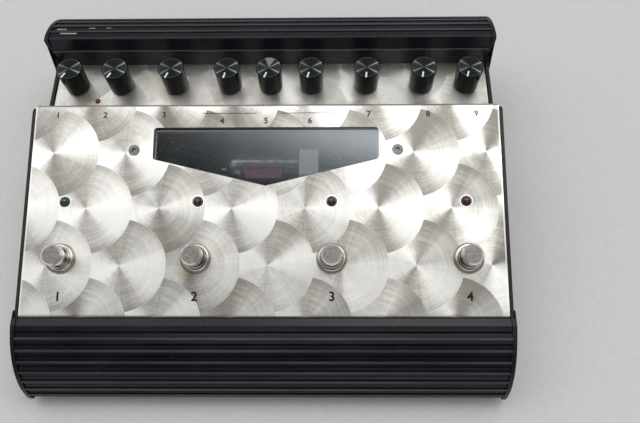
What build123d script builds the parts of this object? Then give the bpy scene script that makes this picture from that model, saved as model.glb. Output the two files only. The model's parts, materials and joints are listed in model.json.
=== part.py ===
from build123d import *
import math
import os

# Tube echo unit in a floor pedal case, millimetres.
# X runs to the right, Y to the rear and Z up. The origin is on the floor, in the middle of the footprint.

# ------------------------------------------------------------------ driving dimensions: case
case_width = 249.8          # between the inner faces of the two cheeks
rail_span = 153.0           # between the inner faces of the two rails
foot_height = 4.0
cut_past = 1.0              # how far a cut runs past the surface it opens
front_rail_depth = 32.2     # inner face to nose, without the ribs
rear_rail_depth = 36.8
rail_height = 39.9
rear_rail_lift = 27.4       # rear rail above the front rail
panel_slope = 13.4          # degrees, rising to the rear
panel_length = 114.4        # front edge to rear edge, along the slope
panel_drop = 0.4            # front edge of the cover below the top of the front rail
panel_gap = 0.6             # cover to the front rail
side_gap = 0.5              # cover and deck to the cheeks
deck_height = 51.0          # top face of the knob deck above the floor

# ------------------------------------------------------------------ rails, an aluminium extrusion
nose_radius = 41.8
rail_band = 3.9             # plain flat band along the top inner edge
rail_wall = 2.6
rail_foot_round = 3.0
rib_pitch = 6.3             # along the curved face
rib_width = 1.5
rib_height = 0.8
rib_round = 0.35
rib_root = 0.5              # how far a rib's section reaches into the wall
notch_width = 1.0           # fine V groove midway between two ribs
notch_depth = 0.8
port_wall = 1.7             # round the screw ports that hold the end cap screws
bead_drop = 8.0             # bead on the rear rail's inner face, below its top
bead_width = 1.0
bead_height = 0.6
rear_rail_lean = 1.5        # how far the inner face falls back above the bead

# ------------------------------------------------------------------ end caps and cheeks
cap_thickness = 2.4
cap_lip_reach = 4.2         # how far a cap laps over the cheek
cap_lip_gap = 0.1
cap_edge_round = 0.6
cheek_thickness = 1.6
cheek_end_gap = 0.2         # cheek to the rails
cheek_recess = 0.5          # cheek edge below the cover
cheek_deck_rise = 1.5       # cheek edge above the knob deck
cheek_corner_round = 4.0
cheek_inner_round = 2.0      # foot of the step
cheek_rail_round = 6.0      # where the cheek rises to the rear rail
cheek_tab = 1.0             # width of its end along the rail
cheek_skirt = 0.2           # bottom edge above the underside of the tray
cheek_screw_height = 14.0
cheek_screw_spacing = 52.0

# ------------------------------------------------------------------ sheet metal
tray_gauge = 1.5
tray_side_flange = 18.0
tray_bend = 1.0             # inside bend radius
tray_front_lap = 24.0       # how far the tray runs under the front rail
rear_wall_setback = 23.8    # connector wall behind the inner face of the rear rail
rear_wall_flange = 14.0
vent_count = 9
vent_pitch = 10.0
vent_length = 44.0
vent_width = 3.0
cover_gauge = 1.5
cover_bend = 0.3
cover_front_flange = 12.0
deck_gauge = 1.5
deck_front_lap = 9.0        # how far the deck runs in under the cover
deck_ledge_reach = 3.0      # ledge on the rear rail that carries the deck
deck_ledge_height = 1.6

# ------------------------------------------------------------------ foot switches, in the cover
switch_count = 4
switch_side_inset = 19.9    # outermost switches to the cheeks
switch_row = 30.2           # distance up the slope from the front edge of the cover
bush_radius = 5.8
bush_bore = 4.85
bush_rise = 4.5             # bush top above the cover
bush_hole_gap = 0.2
bush_chamfer = 0.4
dress_nut_radius = 7.65
dress_nut_height = 2.4
dress_nut_round = 1.2
switch_nut_gap = 0.05       # both nuts to the bush
lock_nut_flats = 15.0
lock_nut_height = 2.2
switch_body_width = 17.0
switch_body_depth = 19.0
switch_body_chamfer = 1.0
switch_cavity_gap = 0.5     # below the foot of a fully pressed plunger
plunger_radius = 4.65
plunger_cap_radius = 5.35
plunger_cap_chamfer = 0.95
plunger_cap_round = 0.4     # lower edge of the head
plunger_clearance = 0.2     # head to the bush when fully pressed
plunger_top = 12.9          # above the cover
plunger_travel = 3.0
plunger_reach = 3.5         # plunger foot below the shoulder of the switch body
lug_width = 2.0
lug_thickness = 0.8
lug_length = 3.5
lug_pitch = 4.8

# ------------------------------------------------------------------ indicator lamps
lamp_drop = 8.35            # lamps below the window's lowest point
lamp_radius = 2.5
lamp_rise = 1.3             # cylinder part above the panel, before the dome
lamp_flange_radius = 3.1
lamp_flange_height = 1.0
lamp_body = 5.0
lamp_hole_gap = 0.1
lamp_hole_chamfer = 0.3     # bright deburred edge of the holes in the cover
small_lamp_radius = 1.5
small_lamp_spacing = 12.6   # to the right of the first knob
small_lamp_offset = 10.4    # in front of the knob row

# ------------------------------------------------------------------ window in the cover
window_half_width = 60.0
window_margin = 13.7        # rear edge of the cover to the window
window_side_height = 17.6
window_point_drop = 14.65   # middle point below the two lower side corners
window_round = 2.0
lens_gap = 0.25
lens_recess = 0.1
lens_flange = 5.0
lens_flange_thickness = 2.0
retainer_gauge = 1.2
retainer_border = 8.0
retainer_opening_inset = 1.0
retainer_ear_height = 12.0
retainer_ear_reach = 6.5
cover_screw_spacing = 10.0  # beside the window
cover_screw_drop = 12.6     # below the window's upper edge
boss_radius = 3.6
boss_bore_gap = 0.05

# ------------------------------------------------------------------ knobs on the deck
knob_row_setback = 15.2     # knob row in front of the inner face of the rear rail
knob_side_inset = 12.7      # outermost knobs to the cheeks
knob_end_pitch = 25.6       # between the two knobs at either end
knob_inner_spacings = (23.5, 54.9)  # from the middle knob
knob_top_radius = 7.25
knob_foot_radius = 6.75
knob_height = 16.6
knob_deck_gap = 0.6
knob_hollow_radius = 5.85
knob_hollow_depth = 5.6
knob_top_round = 0.3
knob_foot_round = 0.25
knob_rim = 0.45             # plastic rim around the metal cap disc
pointer_angles = [31.0, 29.0, 23.0, 13.0, 20.0, 16.0, 6.0, 10.5, 19.0]  # from the front, turned to the left
pointer_width = 1.1
pointer_start = 3.2         # from the knob's axis
pointer_depth = 0.35
disc_recess = 0.9
disc_gap = 0.05
disc_thickness = 0.8
shaft_radius = 3.0
shaft_fit = 0.03
shaft_seat = 3.0            # knob material above the shaft end
bushing_radius = 3.5
bushing_bore_gap = 0.08
bushing_rise = 5.0          # above the deck
bushing_hole_gap = 0.1
pot_radius = 8.3
pot_height = 8.0
pot_cavity = 2.2
pot_nut_flats = 9.4
pot_nut_height = 2.2
pot_nut_gap = 0.05

# ------------------------------------------------------------------ boards and tube
pot_board_gauge = 1.6
pot_board_depth = 20.0
pot_board_margin = 6.0      # board end to the cheeks
board_gauge = 1.6
board_height = 30.0         # underside above the floor
board_setback = 56.8        # front edge of the board behind the front rail
board_depth = 86.0
board_margin = 14.0         # board end to the cheeks
standoff_radius = 3.0
standoff_inset = 5.0
tube_axis_x = -2.4          # middle of the glass
tube_setback = 28.39        # in front of the rear edge of the cover
tube_drop = 16.45           # axis below the cover
tube_radius = 10.0
tube_length = 40.0
tube_wall = 1.0
tube_dome = 0.6             # rounding of the closed end, as a share of the radius
tube_tip_radius = 1.6
tube_tip_length = 3.0
socket_thickness = 8.8
socket_width = 18.0
socket_chamfer = 1.5
bracket_gauge = 1.5
bracket_foot = 10.0
plate_length = 19.0
plate_width = 5.6
plate_pitch = 7.4
mica_gauge = 0.6
mica_radius = 8.2
rod_radius = 0.5
rod_pitch = 3.0
can_positions = [-88.0, -72.0, -56.0, 62.0]
can_setback = 30.0          # behind the front edge of the board
can_radius = 6.25
can_height = 20.0
can_round = 1.0
chip_positions = [-30.0, -4.0, 22.0, 84.0]
chip_setback = 54.0
chip_size = (19.0, 7.6, 4.0)

# ------------------------------------------------------------------ connectors and fixings
jack_count = 4
jack_pitch = 30.0
jack_side_inset = 26.9      # first jack to the left cheek
connector_height = 19.0     # connector axis above the floor
jack_bore = 3.25
jack_bush_radius = 4.6
jack_bush_reach = 6.5       # behind the connector wall
jack_bush_chamfer = 0.5
jack_body_width = 15.0
jack_body_depth = 21.0
jack_bore_depth = 20.0
jack_washer_radius = 7.2
jack_washer_thickness = 0.8
jack_nut_radius = 6.4
jack_nut_height = 2.4
jack_nut_chamfer = 0.4
jack_nut_gap = 0.05
inlet_side_inset = 28.9     # to the right cheek
inlet_width = 12.0
inlet_depth = 13.0
inlet_flange_margin = 1.5
inlet_flange_thickness = 2.0
inlet_socket_radius = 4.0
inlet_socket_depth = 9.5
inlet_pin_radius = 1.0
inlet_pin_recess = 1.0      # pin end below the face of the socket
inlet_hole_gap = 0.2
screw_head_radius = 3.0
screw_shank_radius = 1.5
screw_gap = 0.05
case_screw_length = 6.0
cover_screw_head_radius = 3.0
cover_screw_length = 6.0
hex_socket_flats = 2.5
hex_socket_depth = 1.1
foot_radius = 8.0
foot_taper = 0.8
foot_inset_x = 22.0         # from the cheeks
foot_inset_front = 12.0     # from the inner face of the front rail
foot_inset_rear = 12.0      # from the connector wall
foot_recess = 2.4
foot_head_radius = 3.0
foot_head_height = 1.5
foot_screw_end = 2.0        # above the floor of the tray

# ------------------------------------------------------------------ worked-out places
tray_top = foot_height + tray_gauge
front_rail_top = tray_top + rail_height
rear_rail_foot = tray_top + rear_rail_lift
total_depth = front_rail_depth + rail_span + rear_rail_depth + 2 * rib_height
front_face = -total_depth / 2 + front_rail_depth + rib_height
rear_face = front_face + rail_span
rear_wall = rear_face + rear_wall_setback
half_width = case_width / 2
port_bore = screw_shank_radius + screw_gap
cover_half = half_width - side_gap
panel_front = front_face + panel_gap
panel_front_height = front_rail_top - panel_drop
slope = math.radians(panel_slope)
panel_rear = panel_front + panel_length * math.cos(slope)
knob_row = rear_face - knob_row_setback
small_lamp_y = knob_row - small_lamp_offset
deck_under = deck_height - deck_gauge
knob_foot = deck_height + knob_deck_gap
knob_top = knob_foot + knob_height
switch_pitch = 2 * (half_width - switch_side_inset) / (switch_count - 1)
switch_positions = [(i - (switch_count - 1) / 2) * switch_pitch for i in range(switch_count)]
knob_end = half_width - knob_side_inset
knob_half_row = [*knob_inner_spacings, knob_end - knob_end_pitch, knob_end]
knob_positions = [-x for x in reversed(knob_half_row)] + [0.0] + knob_half_row
small_lamp_x = knob_positions[0] + small_lamp_spacing
window_top = panel_length - window_margin
window_shoulder = window_top - window_side_height
window_tip = window_shoulder - window_point_drop
lamp_row = window_tip - lamp_drop
cover_screw_x = window_half_width + cover_screw_spacing
cover_screw_row = window_top - cover_screw_drop
jack_positions = [jack_side_inset - half_width + i * jack_pitch for i in range(jack_count)]
inlet_x = half_width - inlet_side_inset
board_front = front_face + board_setback
can_row = board_front + can_setback
chip_row = board_front + chip_setback

# The cover's own frame: x to the right, y up the slope from its front edge, z out of its top face.
panel = Plane(
    origin=(0, panel_front, panel_front_height),
    x_dir=(1, 0, 0),
    z_dir=(0, -math.sin(slope), math.cos(slope)),
)


def panel_height(y):
    """Height of the cover's top face over the floor at depth y."""
    return panel_front_height + (y - panel_front) * math.tan(slope)


tube_axis_y = panel_rear - tube_setback
tube_axis_z = panel_height(tube_axis_y) - tube_drop


def cylinder(radius, low, high, x=0.0, y=0.0):
    """Upright cylinder between two heights."""
    return Pos(x, y, low) * Cylinder(radius, high - low, align=(Align.CENTER, Align.CENTER, Align.MIN))


def block(width, depth, low, high, x=0.0, y=0.0):
    """Upright block between two heights."""
    return Pos(x, y, low) * Box(width, depth, high - low, align=(Align.CENTER, Align.CENTER, Align.MIN))


def hexagon(flats, low, high, x=0.0, y=0.0):
    """Upright hexagonal prism between two heights."""
    outline = RegularPolygon(flats / 2, 6, major_radius=False)
    return Pos(x, y, low) * extrude(outline, high - low)


def turned(points):
    """Solid of revolution about Z from an outline of (radius, height) points."""
    return revolve(Plane.XZ * make_face(Polyline(*points, close=True)), Axis.Z)


def bent_sheet(plane, route, gauge, bend):
    """Sheet of constant thickness along the middle line of its section, on the given plane."""
    return plane * trace(FilletPolyline(*route, radius=bend + gauge / 2), gauge)


def countersunk_screw(head_radius, shank_radius, length):
    """Screw with its flat head at Z = 0, pointing down."""
    cone = head_radius - shank_radius
    outline = [
        (0, 0),
        (head_radius, 0),
        (shank_radius, -cone),
        (shank_radius, -length),
        (0, -length),
    ]
    socket = hexagon(hex_socket_flats, -hex_socket_depth, 0)
    return turned(outline) - socket


def countersunk_hole(head_radius, shank_radius, length):
    """Clearance for a countersunk screw, opened a little above its head."""
    cone = head_radius - shank_radius
    outline = [
        (0, cut_past),
        (head_radius + screw_gap, cut_past),
        (head_radius + screw_gap, 0),
        (shank_radius + screw_gap, -cone),
        (shank_radius + screw_gap, -length - screw_gap),
        (0, -length - screw_gap),
    ]
    return turned(outline)


# ------------------------------------------------------------------ rails
def nose_centre(depth):
    """Centre of a rail's curved face, from the foot of its inner face."""
    across = depth - nose_radius
    up = rail_height - math.sqrt(nose_radius ** 2 - (rail_band - across) ** 2)
    return across, up


def rail_outline(depth, inset):
    """Closed section of a rail, moved inwards by an inset, as a face."""
    across, up = nose_centre(depth)
    radius = nose_radius - inset
    first = math.acos((rail_height - inset - up) / radius)
    last = math.acos((inset - up) / radius)
    arc = [
        (across + radius * math.sin(angle), up + radius * math.cos(angle))
        for angle in (first, (first + last) / 2, last)
    ]
    foot = (inset, inset)
    top = (inset, rail_height - inset)
    return make_face([Line(foot, top), Line(top, arc[0]), ThreePointArc(*arc), Line(arc[2], foot)])


def rounded_foot(face, radius):
    """Rail section with its lower outer corner rounded."""
    corner = face.vertices().group_by(Axis.Y)[0].sort_by(Axis.X)[-1]
    return fillet(corner, radius)


def rail_section(depth, first):
    """Ribbed, hollow section with two screw ports; its pattern starts with half step number first."""
    across, up = nose_centre(depth)
    face = rounded_foot(rail_outline(depth, 0), rail_foot_round)
    start = math.asin((rail_band - across) / nose_radius)
    step = rib_pitch / nose_radius
    last = math.acos((rail_foot_round - up) / nose_radius)
    rib = Rectangle(rib_width, rib_root + rib_height, align=(Align.CENTER, Align.MIN))
    rib = fillet(rib.vertices().group_by(Axis.Y)[-1], rib_round)
    notch = make_face(Polyline(
        (-notch_width / 2, 0),
        (-notch_width / 2, rib_height),
        (notch_width / 2, rib_height),
        (notch_width / 2, 0),
        (0, -notch_depth),
        close=True,
    ))
    half_steps = int((last - start) / (step / 2))
    for i in range(first, half_steps + 1):
        angle = start + i * step / 2
        place = Pos(across, up) * Rot(0, 0, -math.degrees(angle))
        if (i - first) % 2 == 0:
            face -= place * Pos(0, nose_radius) * notch
        else:
            face += place * Pos(0, nose_radius - rib_root) * rib
    hollow = rail_outline(depth, rail_wall)
    for port in rail_ports(depth):
        hollow -= Pos(*port) * Circle(port_bore + port_wall)
    face -= hollow
    for port in rail_ports(depth):
        face -= Pos(*port) * Circle(port_bore)
    return face


def rail_ports(depth):
    """Places of the two screw ports, in the rail's section."""
    inner = rail_wall + port_bore
    across, up = nose_centre(depth)
    reach = across + math.sqrt((nose_radius - rail_wall) ** 2 - (inner - up) ** 2)
    return [(inner, rail_height - inner - port_wall), (reach - port_bore - port_wall, inner)]


def rail_plane(front):
    """Section plane of a rail: x away from the case, y up, from the foot of the inner face."""
    if front:
        return Plane(origin=(0, front_face, tray_top), x_dir=(0, -1, 0), z_dir=(-1, 0, 0))
    return Plane(origin=(0, rear_face, rear_rail_foot), x_dir=(0, 1, 0), z_dir=(1, 0, 0))


def rail_depth(front):
    return front_rail_depth if front else rear_rail_depth


def rail(front):
    """Front or rear rail; the rear one has a fine bead over the knobs and a ledge under their deck."""
    section = rail_section(rail_depth(front), 1 if front else 0)
    if not front:
        section += Pos(0, rail_height - bead_drop) * Rectangle(
            2 * bead_height, bead_width, align=(Align.CENTER, Align.MAX))
        section += Pos(rail_wall / 2, deck_under - rear_rail_foot) * Rectangle(
            rail_wall / 2 + deck_ledge_reach, deck_ledge_height, align=(Align.MAX, Align.MAX))
        section -= make_face(Polyline(
            (0, rail_height - bead_drop),
            (rear_rail_lean, rail_height),
            (rear_rail_lean, rail_height + cut_past),
            (-bead_height, rail_height + cut_past),
            (-bead_height, rail_height - bead_drop),
            close=True,
        ))
    return extrude(rail_plane(front) * section, half_width, both=True)


def cap_lip(front):
    """Part of a cap that laps over the cheek; the rear one falls back above the knob deck."""
    top = rail_height + rib_height
    shoulder = top if front else deck_height + cheek_deck_rise - rear_rail_foot
    return make_face(Polyline(
        (0, -rib_height),
        (-cap_lip_reach, -rib_height),
        (-cap_lip_reach, shoulder),
        (0 if front else rear_rail_lean, top),
        (rib_height + rear_rail_lean, top - rib_height),
        (rib_height, -rib_height),
        close=True,
    ))


def end_cap_right(front):
    """Moulded cap on the right end of a rail, lapping over the cheek."""
    depth = rail_depth(front)
    outline = rounded_foot(rail_outline(depth, -rib_height), rail_foot_round)
    beyond = Pos(-rib_height, 0) * Rectangle(
        rib_height, 2 * rail_height + 2 * cut_past, align=(Align.MIN, Align.CENTER))
    outline -= beyond
    lip = cap_lip(front)
    plane = rail_plane(front)
    turn = -1 if front else 1
    lip_start = cheek_thickness + cap_lip_gap
    body = extrude(plane * outline, turn * cap_thickness)
    flap = Pos(lip_start, 0, 0) * extrude(plane * lip, turn * (cap_thickness - lip_start))
    cap = Pos(half_width, 0, 0) * (body + flap)
    outer = cap.faces().sort_by(Axis.X)[-1]
    cap = fillet(outer.edges(), cap_edge_round)
    hole = countersunk_hole(screw_head_radius, screw_shank_radius, case_screw_length)
    for port in rail_ports(depth):
        spot = plane.from_local_coords(Vector(port[0], port[1], 0))
        cap -= Pos(half_width + cap_thickness, spot.Y, spot.Z) * Rot(0, 90, 0) * hole
    return cap


def both_sides(right):
    """A right-hand piece and its mirror image."""
    return [right, mirror(right, Plane.YZ)]


# ------------------------------------------------------------------ cheeks
def cheek_screw_places():
    middle = (front_face + rear_wall) / 2
    return [middle + i * cheek_screw_spacing for i in (-1, 0, 1)]


def cheek_right():
    """Side plate with a stepped top edge that follows the cover and then the knob deck."""
    bottom = foot_height + cheek_skirt
    front = front_face + cheek_end_gap
    slope_top = panel_height(panel_rear) - cheek_recess
    deck_edge = deck_height + cheek_deck_rise
    rear = rear_face - cheek_end_gap
    under_rail = rear_rail_foot - rib_height - cheek_end_gap
    outline = Polyline(
        (front, bottom),
        (front, panel_height(front) - cheek_recess),
        (panel_rear, slope_top),
        (panel_rear, deck_edge),
        (rear - cheek_tab, deck_edge),
        (rear - cheek_tab, deck_edge + cheek_rail_round),
        (rear, deck_edge + cheek_rail_round),
        (rear, under_rail),
        (rear_wall, under_rail),
        (rear_wall, bottom),
        close=True,
    )
    face = make_face(outline)
    step_corner = face.vertices().sort_by_distance((panel_rear, slope_top))[0]
    face = fillet(step_corner, cheek_corner_round)
    foot_corner = face.vertices().sort_by_distance((panel_rear, deck_edge))[0]
    face = fillet(foot_corner, cheek_inner_round)
    rail_corner = face.vertices().sort_by_distance((rear - cheek_tab, deck_edge))[0]
    face = fillet(rail_corner, cheek_rail_round - cheek_tab / 2)
    plate = Pos(half_width, 0, 0) * extrude(Plane.YZ * face, cheek_thickness)
    hole = countersunk_hole(screw_head_radius, screw_shank_radius, case_screw_length)
    for y in cheek_screw_places():
        plate -= Pos(half_width + cheek_thickness, y, cheek_screw_height) * Rot(0, 90, 0) * hole
    return plate


# ------------------------------------------------------------------ sheet metal
def chassis_tray():
    """Folded tray: floor, side flanges and the connector wall with its top flange."""
    middle = foot_height + tray_gauge / 2
    wall_middle = rear_wall - tray_gauge / 2
    flange_middle = rear_rail_foot - tray_gauge / 2
    side_middle = half_width - tray_gauge / 2
    floor_route = [
        (front_face - tray_front_lap, middle),
        (wall_middle, middle),
        (wall_middle, flange_middle),
        (wall_middle - rear_wall_flange, flange_middle),
    ]
    wall_half = half_width - side_gap
    tray = extrude(bent_sheet(Plane.YZ, floor_route, tray_gauge, tray_bend), wall_half, both=True)
    side_route = [
        (-side_middle, foot_height + tray_side_flange),
        (-side_middle, middle),
        (side_middle, middle),
        (side_middle, foot_height + tray_side_flange),
    ]
    side_plane = Plane(origin=(0, rear_wall - tray_gauge - tray_bend, 0), x_dir=(1, 0, 0), z_dir=(0, -1, 0))
    side_length = rear_wall - tray_gauge - tray_bend - front_face - cheek_end_gap
    tray += extrude(bent_sheet(side_plane, side_route, tray_gauge, tray_bend), side_length)
    for x in jack_positions:
        tray -= Pos(x, rear_wall, connector_height) * Rot(90, 0, 0) * Cylinder(
            jack_bush_radius + jack_nut_gap, 4 * tray_gauge)
    opening = inlet_width + 2 * inlet_hole_gap
    tray -= Pos(inlet_x, rear_wall, connector_height) * Box(opening, 4 * tray_gauge, opening)
    slot = SlotOverall(vent_length, vent_width, rotation=90)
    for i in range(vent_count):
        x = (i - (vent_count - 1) / 2) * vent_pitch
        tray -= Pos(x, tube_axis_y, foot_height - cut_past) * extrude(slot, tray_gauge + 2 * cut_past)
    for x, y in foot_places():
        tray -= cylinder(screw_shank_radius + screw_gap, foot_height - cut_past, tray_top + cut_past, x, y)
    for y in cheek_screw_places():
        tray -= Pos(0, y, cheek_screw_height) * Rot(0, 90, 0) * Cylinder(
            screw_shank_radius + screw_gap, case_width + 2 * cut_past)
    return tray


def lamp_hole():
    """Hole for a lamp with a chamfered upper edge."""
    radius = lamp_radius + lamp_hole_gap
    outer = radius + lamp_hole_chamfer
    return turned([
        (0, -2 * cover_gauge),
        (radius, -2 * cover_gauge),
        (radius, -lamp_hole_chamfer),
        (outer, 0),
        (outer, cut_past),
        (0, cut_past),
    ])


def main_cover():
    """Sloping top sheet with a front flange and a wall down to the knob deck."""
    under = cover_gauge / 2 / math.cos(slope)
    front = panel_front + cover_gauge / 2
    rear = panel_rear - cover_gauge / 2
    route = [
        (front, panel_height(front) - under - cover_front_flange),
        (front, panel_height(front) - under),
        (rear, panel_height(rear) - under),
        (rear, deck_height),
    ]
    cover = extrude(bent_sheet(Plane.YZ, route, cover_gauge, cover_bend), cover_half, both=True)
    cuts = []
    for x in switch_positions:
        cuts.append(cylinder(bush_radius + bush_hole_gap, -2 * cover_gauge, cut_past, x, switch_row))
        cuts.append(Pos(x, lamp_row, 0) * lamp_hole())
    for x in (-cover_screw_x, cover_screw_x):
        cuts.append(Pos(x, cover_screw_row, 0) * countersunk_hole(
            cover_screw_head_radius, screw_shank_radius, cover_screw_length))
    cuts.append(Pos(0, 0, -2 * cover_gauge) * extrude(window_outline(0), 3 * cover_gauge))
    for cut in cuts:
        cover -= panel * cut
    return cover


def knob_deck():
    """Level sheet under the knobs, from inside the cover to the ledge on the rear rail."""
    front = panel_rear - cover_gauge - deck_front_lap
    deck = block(2 * cover_half, rear_face - front, deck_under, deck_height, 0, (front + rear_face) / 2)
    low = deck_under - cut_past
    high = deck_height + cut_past
    for x in knob_positions:
        deck -= cylinder(bushing_radius + bushing_hole_gap, low, high, x, knob_row)
    return deck - cylinder(small_lamp_radius + lamp_hole_gap, low, high, small_lamp_x, small_lamp_y)


# ------------------------------------------------------------------ window
def window_outline(growth):
    """Five-sided window with rounded corners, grown or shrunk by an even border."""
    points = [
        (-window_half_width, window_top),
        (window_half_width, window_top),
        (window_half_width, window_shoulder),
        (0, window_tip),
        (-window_half_width, window_shoulder),
    ]
    face = make_face(Polyline(*points, close=True))
    face = fillet(face.vertices(), window_round)
    if growth:
        face = offset(face, growth, kind=Kind.ARC)
    return face


def window_lens():
    """Smoked lens: an island that fills the opening, on a wider flange below the sheet."""
    island = Pos(0, 0, -cover_gauge) * extrude(window_outline(-lens_gap), cover_gauge - lens_recess)
    flange = Pos(0, 0, -cover_gauge) * extrude(window_outline(lens_flange), -lens_flange_thickness)
    return panel * (island + flange)


def window_retainer():
    """Frame under the lens with two bosses for the cover screws."""
    top = -cover_gauge - lens_flange_thickness
    outline = window_outline(retainer_border)
    for side in (-1, 1):
        outline += Pos(side * cover_screw_x, cover_screw_row) * Rectangle(
            2 * retainer_ear_reach, retainer_ear_height)
    outline -= window_outline(-retainer_opening_inset)
    frame = Pos(0, 0, top) * extrude(outline, -retainer_gauge)
    for side in (-1, 1):
        x = side * cover_screw_x
        frame += cylinder(boss_radius, top - retainer_gauge, -cover_gauge, x, cover_screw_row)
        frame -= cylinder(
            screw_shank_radius + boss_bore_gap, top - 2 * retainer_gauge, 0, x, cover_screw_row)
    return panel * frame


def cover_screws():
    screw = countersunk_screw(cover_screw_head_radius, screw_shank_radius, cover_screw_length)
    return [panel * Pos(x, cover_screw_row, 0) * screw for x in (-cover_screw_x, cover_screw_x)]


# ------------------------------------------------------------------ lamps
def lamp(radius, gauge):
    """Domed lamp with its flange against the underside of a sheet whose top face is at Z = 0."""
    flange_radius = radius + lamp_flange_radius - lamp_radius
    rise = lamp_rise * radius / lamp_radius
    body = cylinder(radius, -gauge - lamp_body, rise - radius / 2)
    dome = Pos(0, 0, rise - radius / 2) * (Sphere(radius) & block(3 * radius, 3 * radius, 0, radius))
    flange = cylinder(flange_radius, -gauge - lamp_flange_height, -gauge)
    return body + dome + flange


def green_lamp():
    return panel * Pos(switch_positions[0], lamp_row, 0) * lamp(lamp_radius, cover_gauge)


def red_lamps():
    lamps = [panel * Pos(x, lamp_row, 0) * lamp(lamp_radius, cover_gauge) for x in switch_positions[1:]]
    small = Pos(small_lamp_x, small_lamp_y, deck_height) * lamp(small_lamp_radius, deck_gauge)
    return lamps + [small]


# ------------------------------------------------------------------ foot switches
def switch_body():
    """Square switch body with a threaded bush through the cover and solder lugs below."""
    shoulder = -cover_gauge - lock_nut_height
    bottom = shoulder - switch_body_depth
    body = block(switch_body_width, switch_body_width, bottom, shoulder)
    cavity = plunger_reach + plunger_travel + switch_cavity_gap
    body = chamfer(body.edges().filter_by(Axis.Z), switch_body_chamfer)
    body += cylinder(bush_radius, shoulder, bush_rise)
    body = chamfer(body.faces().sort_by(Axis.Z)[-1].edges(), bush_chamfer)
    body -= cylinder(bush_bore, shoulder - cavity, bush_rise + cut_past)
    lug = block(lug_width, lug_thickness, bottom - lug_length, bottom)
    for place in GridLocations(lug_pitch, lug_pitch, 3, 3):
        body += place * lug
    return body


def dress_nut():
    """Round nut with a rolled outer edge, above the cover."""
    ring = cylinder(dress_nut_radius, 0, dress_nut_height)
    ring = fillet(ring.faces().sort_by(Axis.Z)[-1].edges(), dress_nut_round)
    return ring - cylinder(bush_radius + switch_nut_gap, -cut_past, dress_nut_height + cut_past)


def lock_nut():
    """Hexagonal nut between the switch body and the cover."""
    low = -cover_gauge - lock_nut_height
    nut = hexagon(lock_nut_flats, low, -cover_gauge)
    return nut - cylinder(bush_radius + switch_nut_gap, low - cut_past, 0)


def plunger():
    """Foot button: a wide chamfered head on a stem that slides in the bush."""
    head_foot = bush_rise + plunger_travel + plunger_clearance
    stem_foot = -cover_gauge - lock_nut_height - plunger_reach
    head = cylinder(plunger_cap_radius, head_foot, plunger_top)
    head = chamfer(head.faces().sort_by(Axis.Z)[-1].edges(), plunger_cap_chamfer)
    head = fillet(head.faces().sort_by(Axis.Z)[0].edges(), plunger_cap_round)
    return head + cylinder(plunger_radius, stem_foot, head_foot)


def at_switches(piece):
    """One copy of a piece at each foot switch, square to the cover."""
    return [panel * Pos(x, switch_row, 0) * piece for x in switch_positions]


# ------------------------------------------------------------------ knobs and pots
def pointer_slot(low):
    """Shallow slot for the pointer line, open at the knob's rim and facing the front."""
    length = knob_top_radius + cut_past - pointer_start
    return block(pointer_width, length, low, knob_top + cut_past, 0, -pointer_start - length / 2)


def knob_body():
    """Tapered knob, hollow below for the pot nut and bored for the shaft."""
    outline = [(0, knob_foot), (knob_foot_radius, knob_foot), (knob_top_radius, knob_top), (0, knob_top)]
    knob = turned(outline)
    knob = fillet(knob.faces().sort_by(Axis.Z)[-1].edges(), knob_top_round)
    knob = fillet(knob.faces().sort_by(Axis.Z)[0].edges(), knob_foot_round)
    knob -= cylinder(knob_hollow_radius, knob_foot - cut_past, knob_foot + knob_hollow_depth)
    knob -= cylinder(shaft_radius + shaft_fit, knob_foot, knob_top - disc_recess - shaft_seat + shaft_fit)
    knob -= cylinder(knob_top_radius - knob_rim, knob_top - disc_recess, knob_top + cut_past)
    return knob - pointer_slot(disc_top() - pointer_depth)


def disc_top():
    return knob_top - disc_recess + disc_thickness


def knob_disc():
    """Spun metal disc let into the top of a knob."""
    radius = knob_top_radius - knob_rim - disc_gap
    disc = cylinder(radius, knob_top - disc_recess, disc_top())
    return disc - pointer_slot(disc_top() - pointer_depth)


def pot_shaft():
    top = knob_top - disc_recess - shaft_seat
    return cylinder(shaft_radius, deck_under - pot_cavity + bushing_bore_gap, top)


def pot_body():
    """Round potentiometer under the deck with its threaded bushing through it."""
    body = cylinder(pot_radius, deck_under - pot_height, deck_under)
    body += cylinder(bushing_radius, deck_under, deck_height + bushing_rise)
    return body - cylinder(shaft_radius + bushing_bore_gap, deck_under - pot_cavity, knob_top)


def pot_nut():
    nut = hexagon(pot_nut_flats, deck_height, deck_height + pot_nut_height)
    return nut - cylinder(bushing_radius + pot_nut_gap, deck_height - cut_past, knob_top)


def at_knobs(piece):
    """One copy of a piece at each knob position, turned to that knob's pointer."""
    places = zip(knob_positions, pointer_angles)
    return [Pos(x, knob_row, 0) * Rot(0, 0, -angle) * piece for x, angle in places]


# ------------------------------------------------------------------ boards and tube
def pot_board():
    top = deck_under - pot_height
    width = case_width - 2 * pot_board_margin
    return block(width, pot_board_depth, top - pot_board_gauge, top, 0, knob_row)


def standoff_places():
    half = half_width - board_margin - standoff_inset
    near = board_front + standoff_inset
    far = board_front + board_depth - standoff_inset
    return [(x, y) for x in (-half, half) for y in (near, far)]


def main_board():
    width = case_width - 2 * board_margin
    middle = board_front + board_depth / 2
    return block(width, board_depth, board_height, board_height + board_gauge, 0, middle)


def standoffs():
    return [cylinder(standoff_radius, tray_top, board_height, x, y) for x, y in standoff_places()]


def board_parts():
    """Capacitor cans and chips on the main board."""
    top = board_height + board_gauge
    cans = []
    for x in can_positions:
        can = cylinder(can_radius, top, top + can_height, x, can_row)
        cans.append(fillet(can.faces().sort_by(Axis.Z)[-1].edges(), can_round))
    width, depth, height = chip_size
    chips = [block(width, depth, top, top + height, x, chip_row) for x in chip_positions]
    return cans + chips


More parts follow.
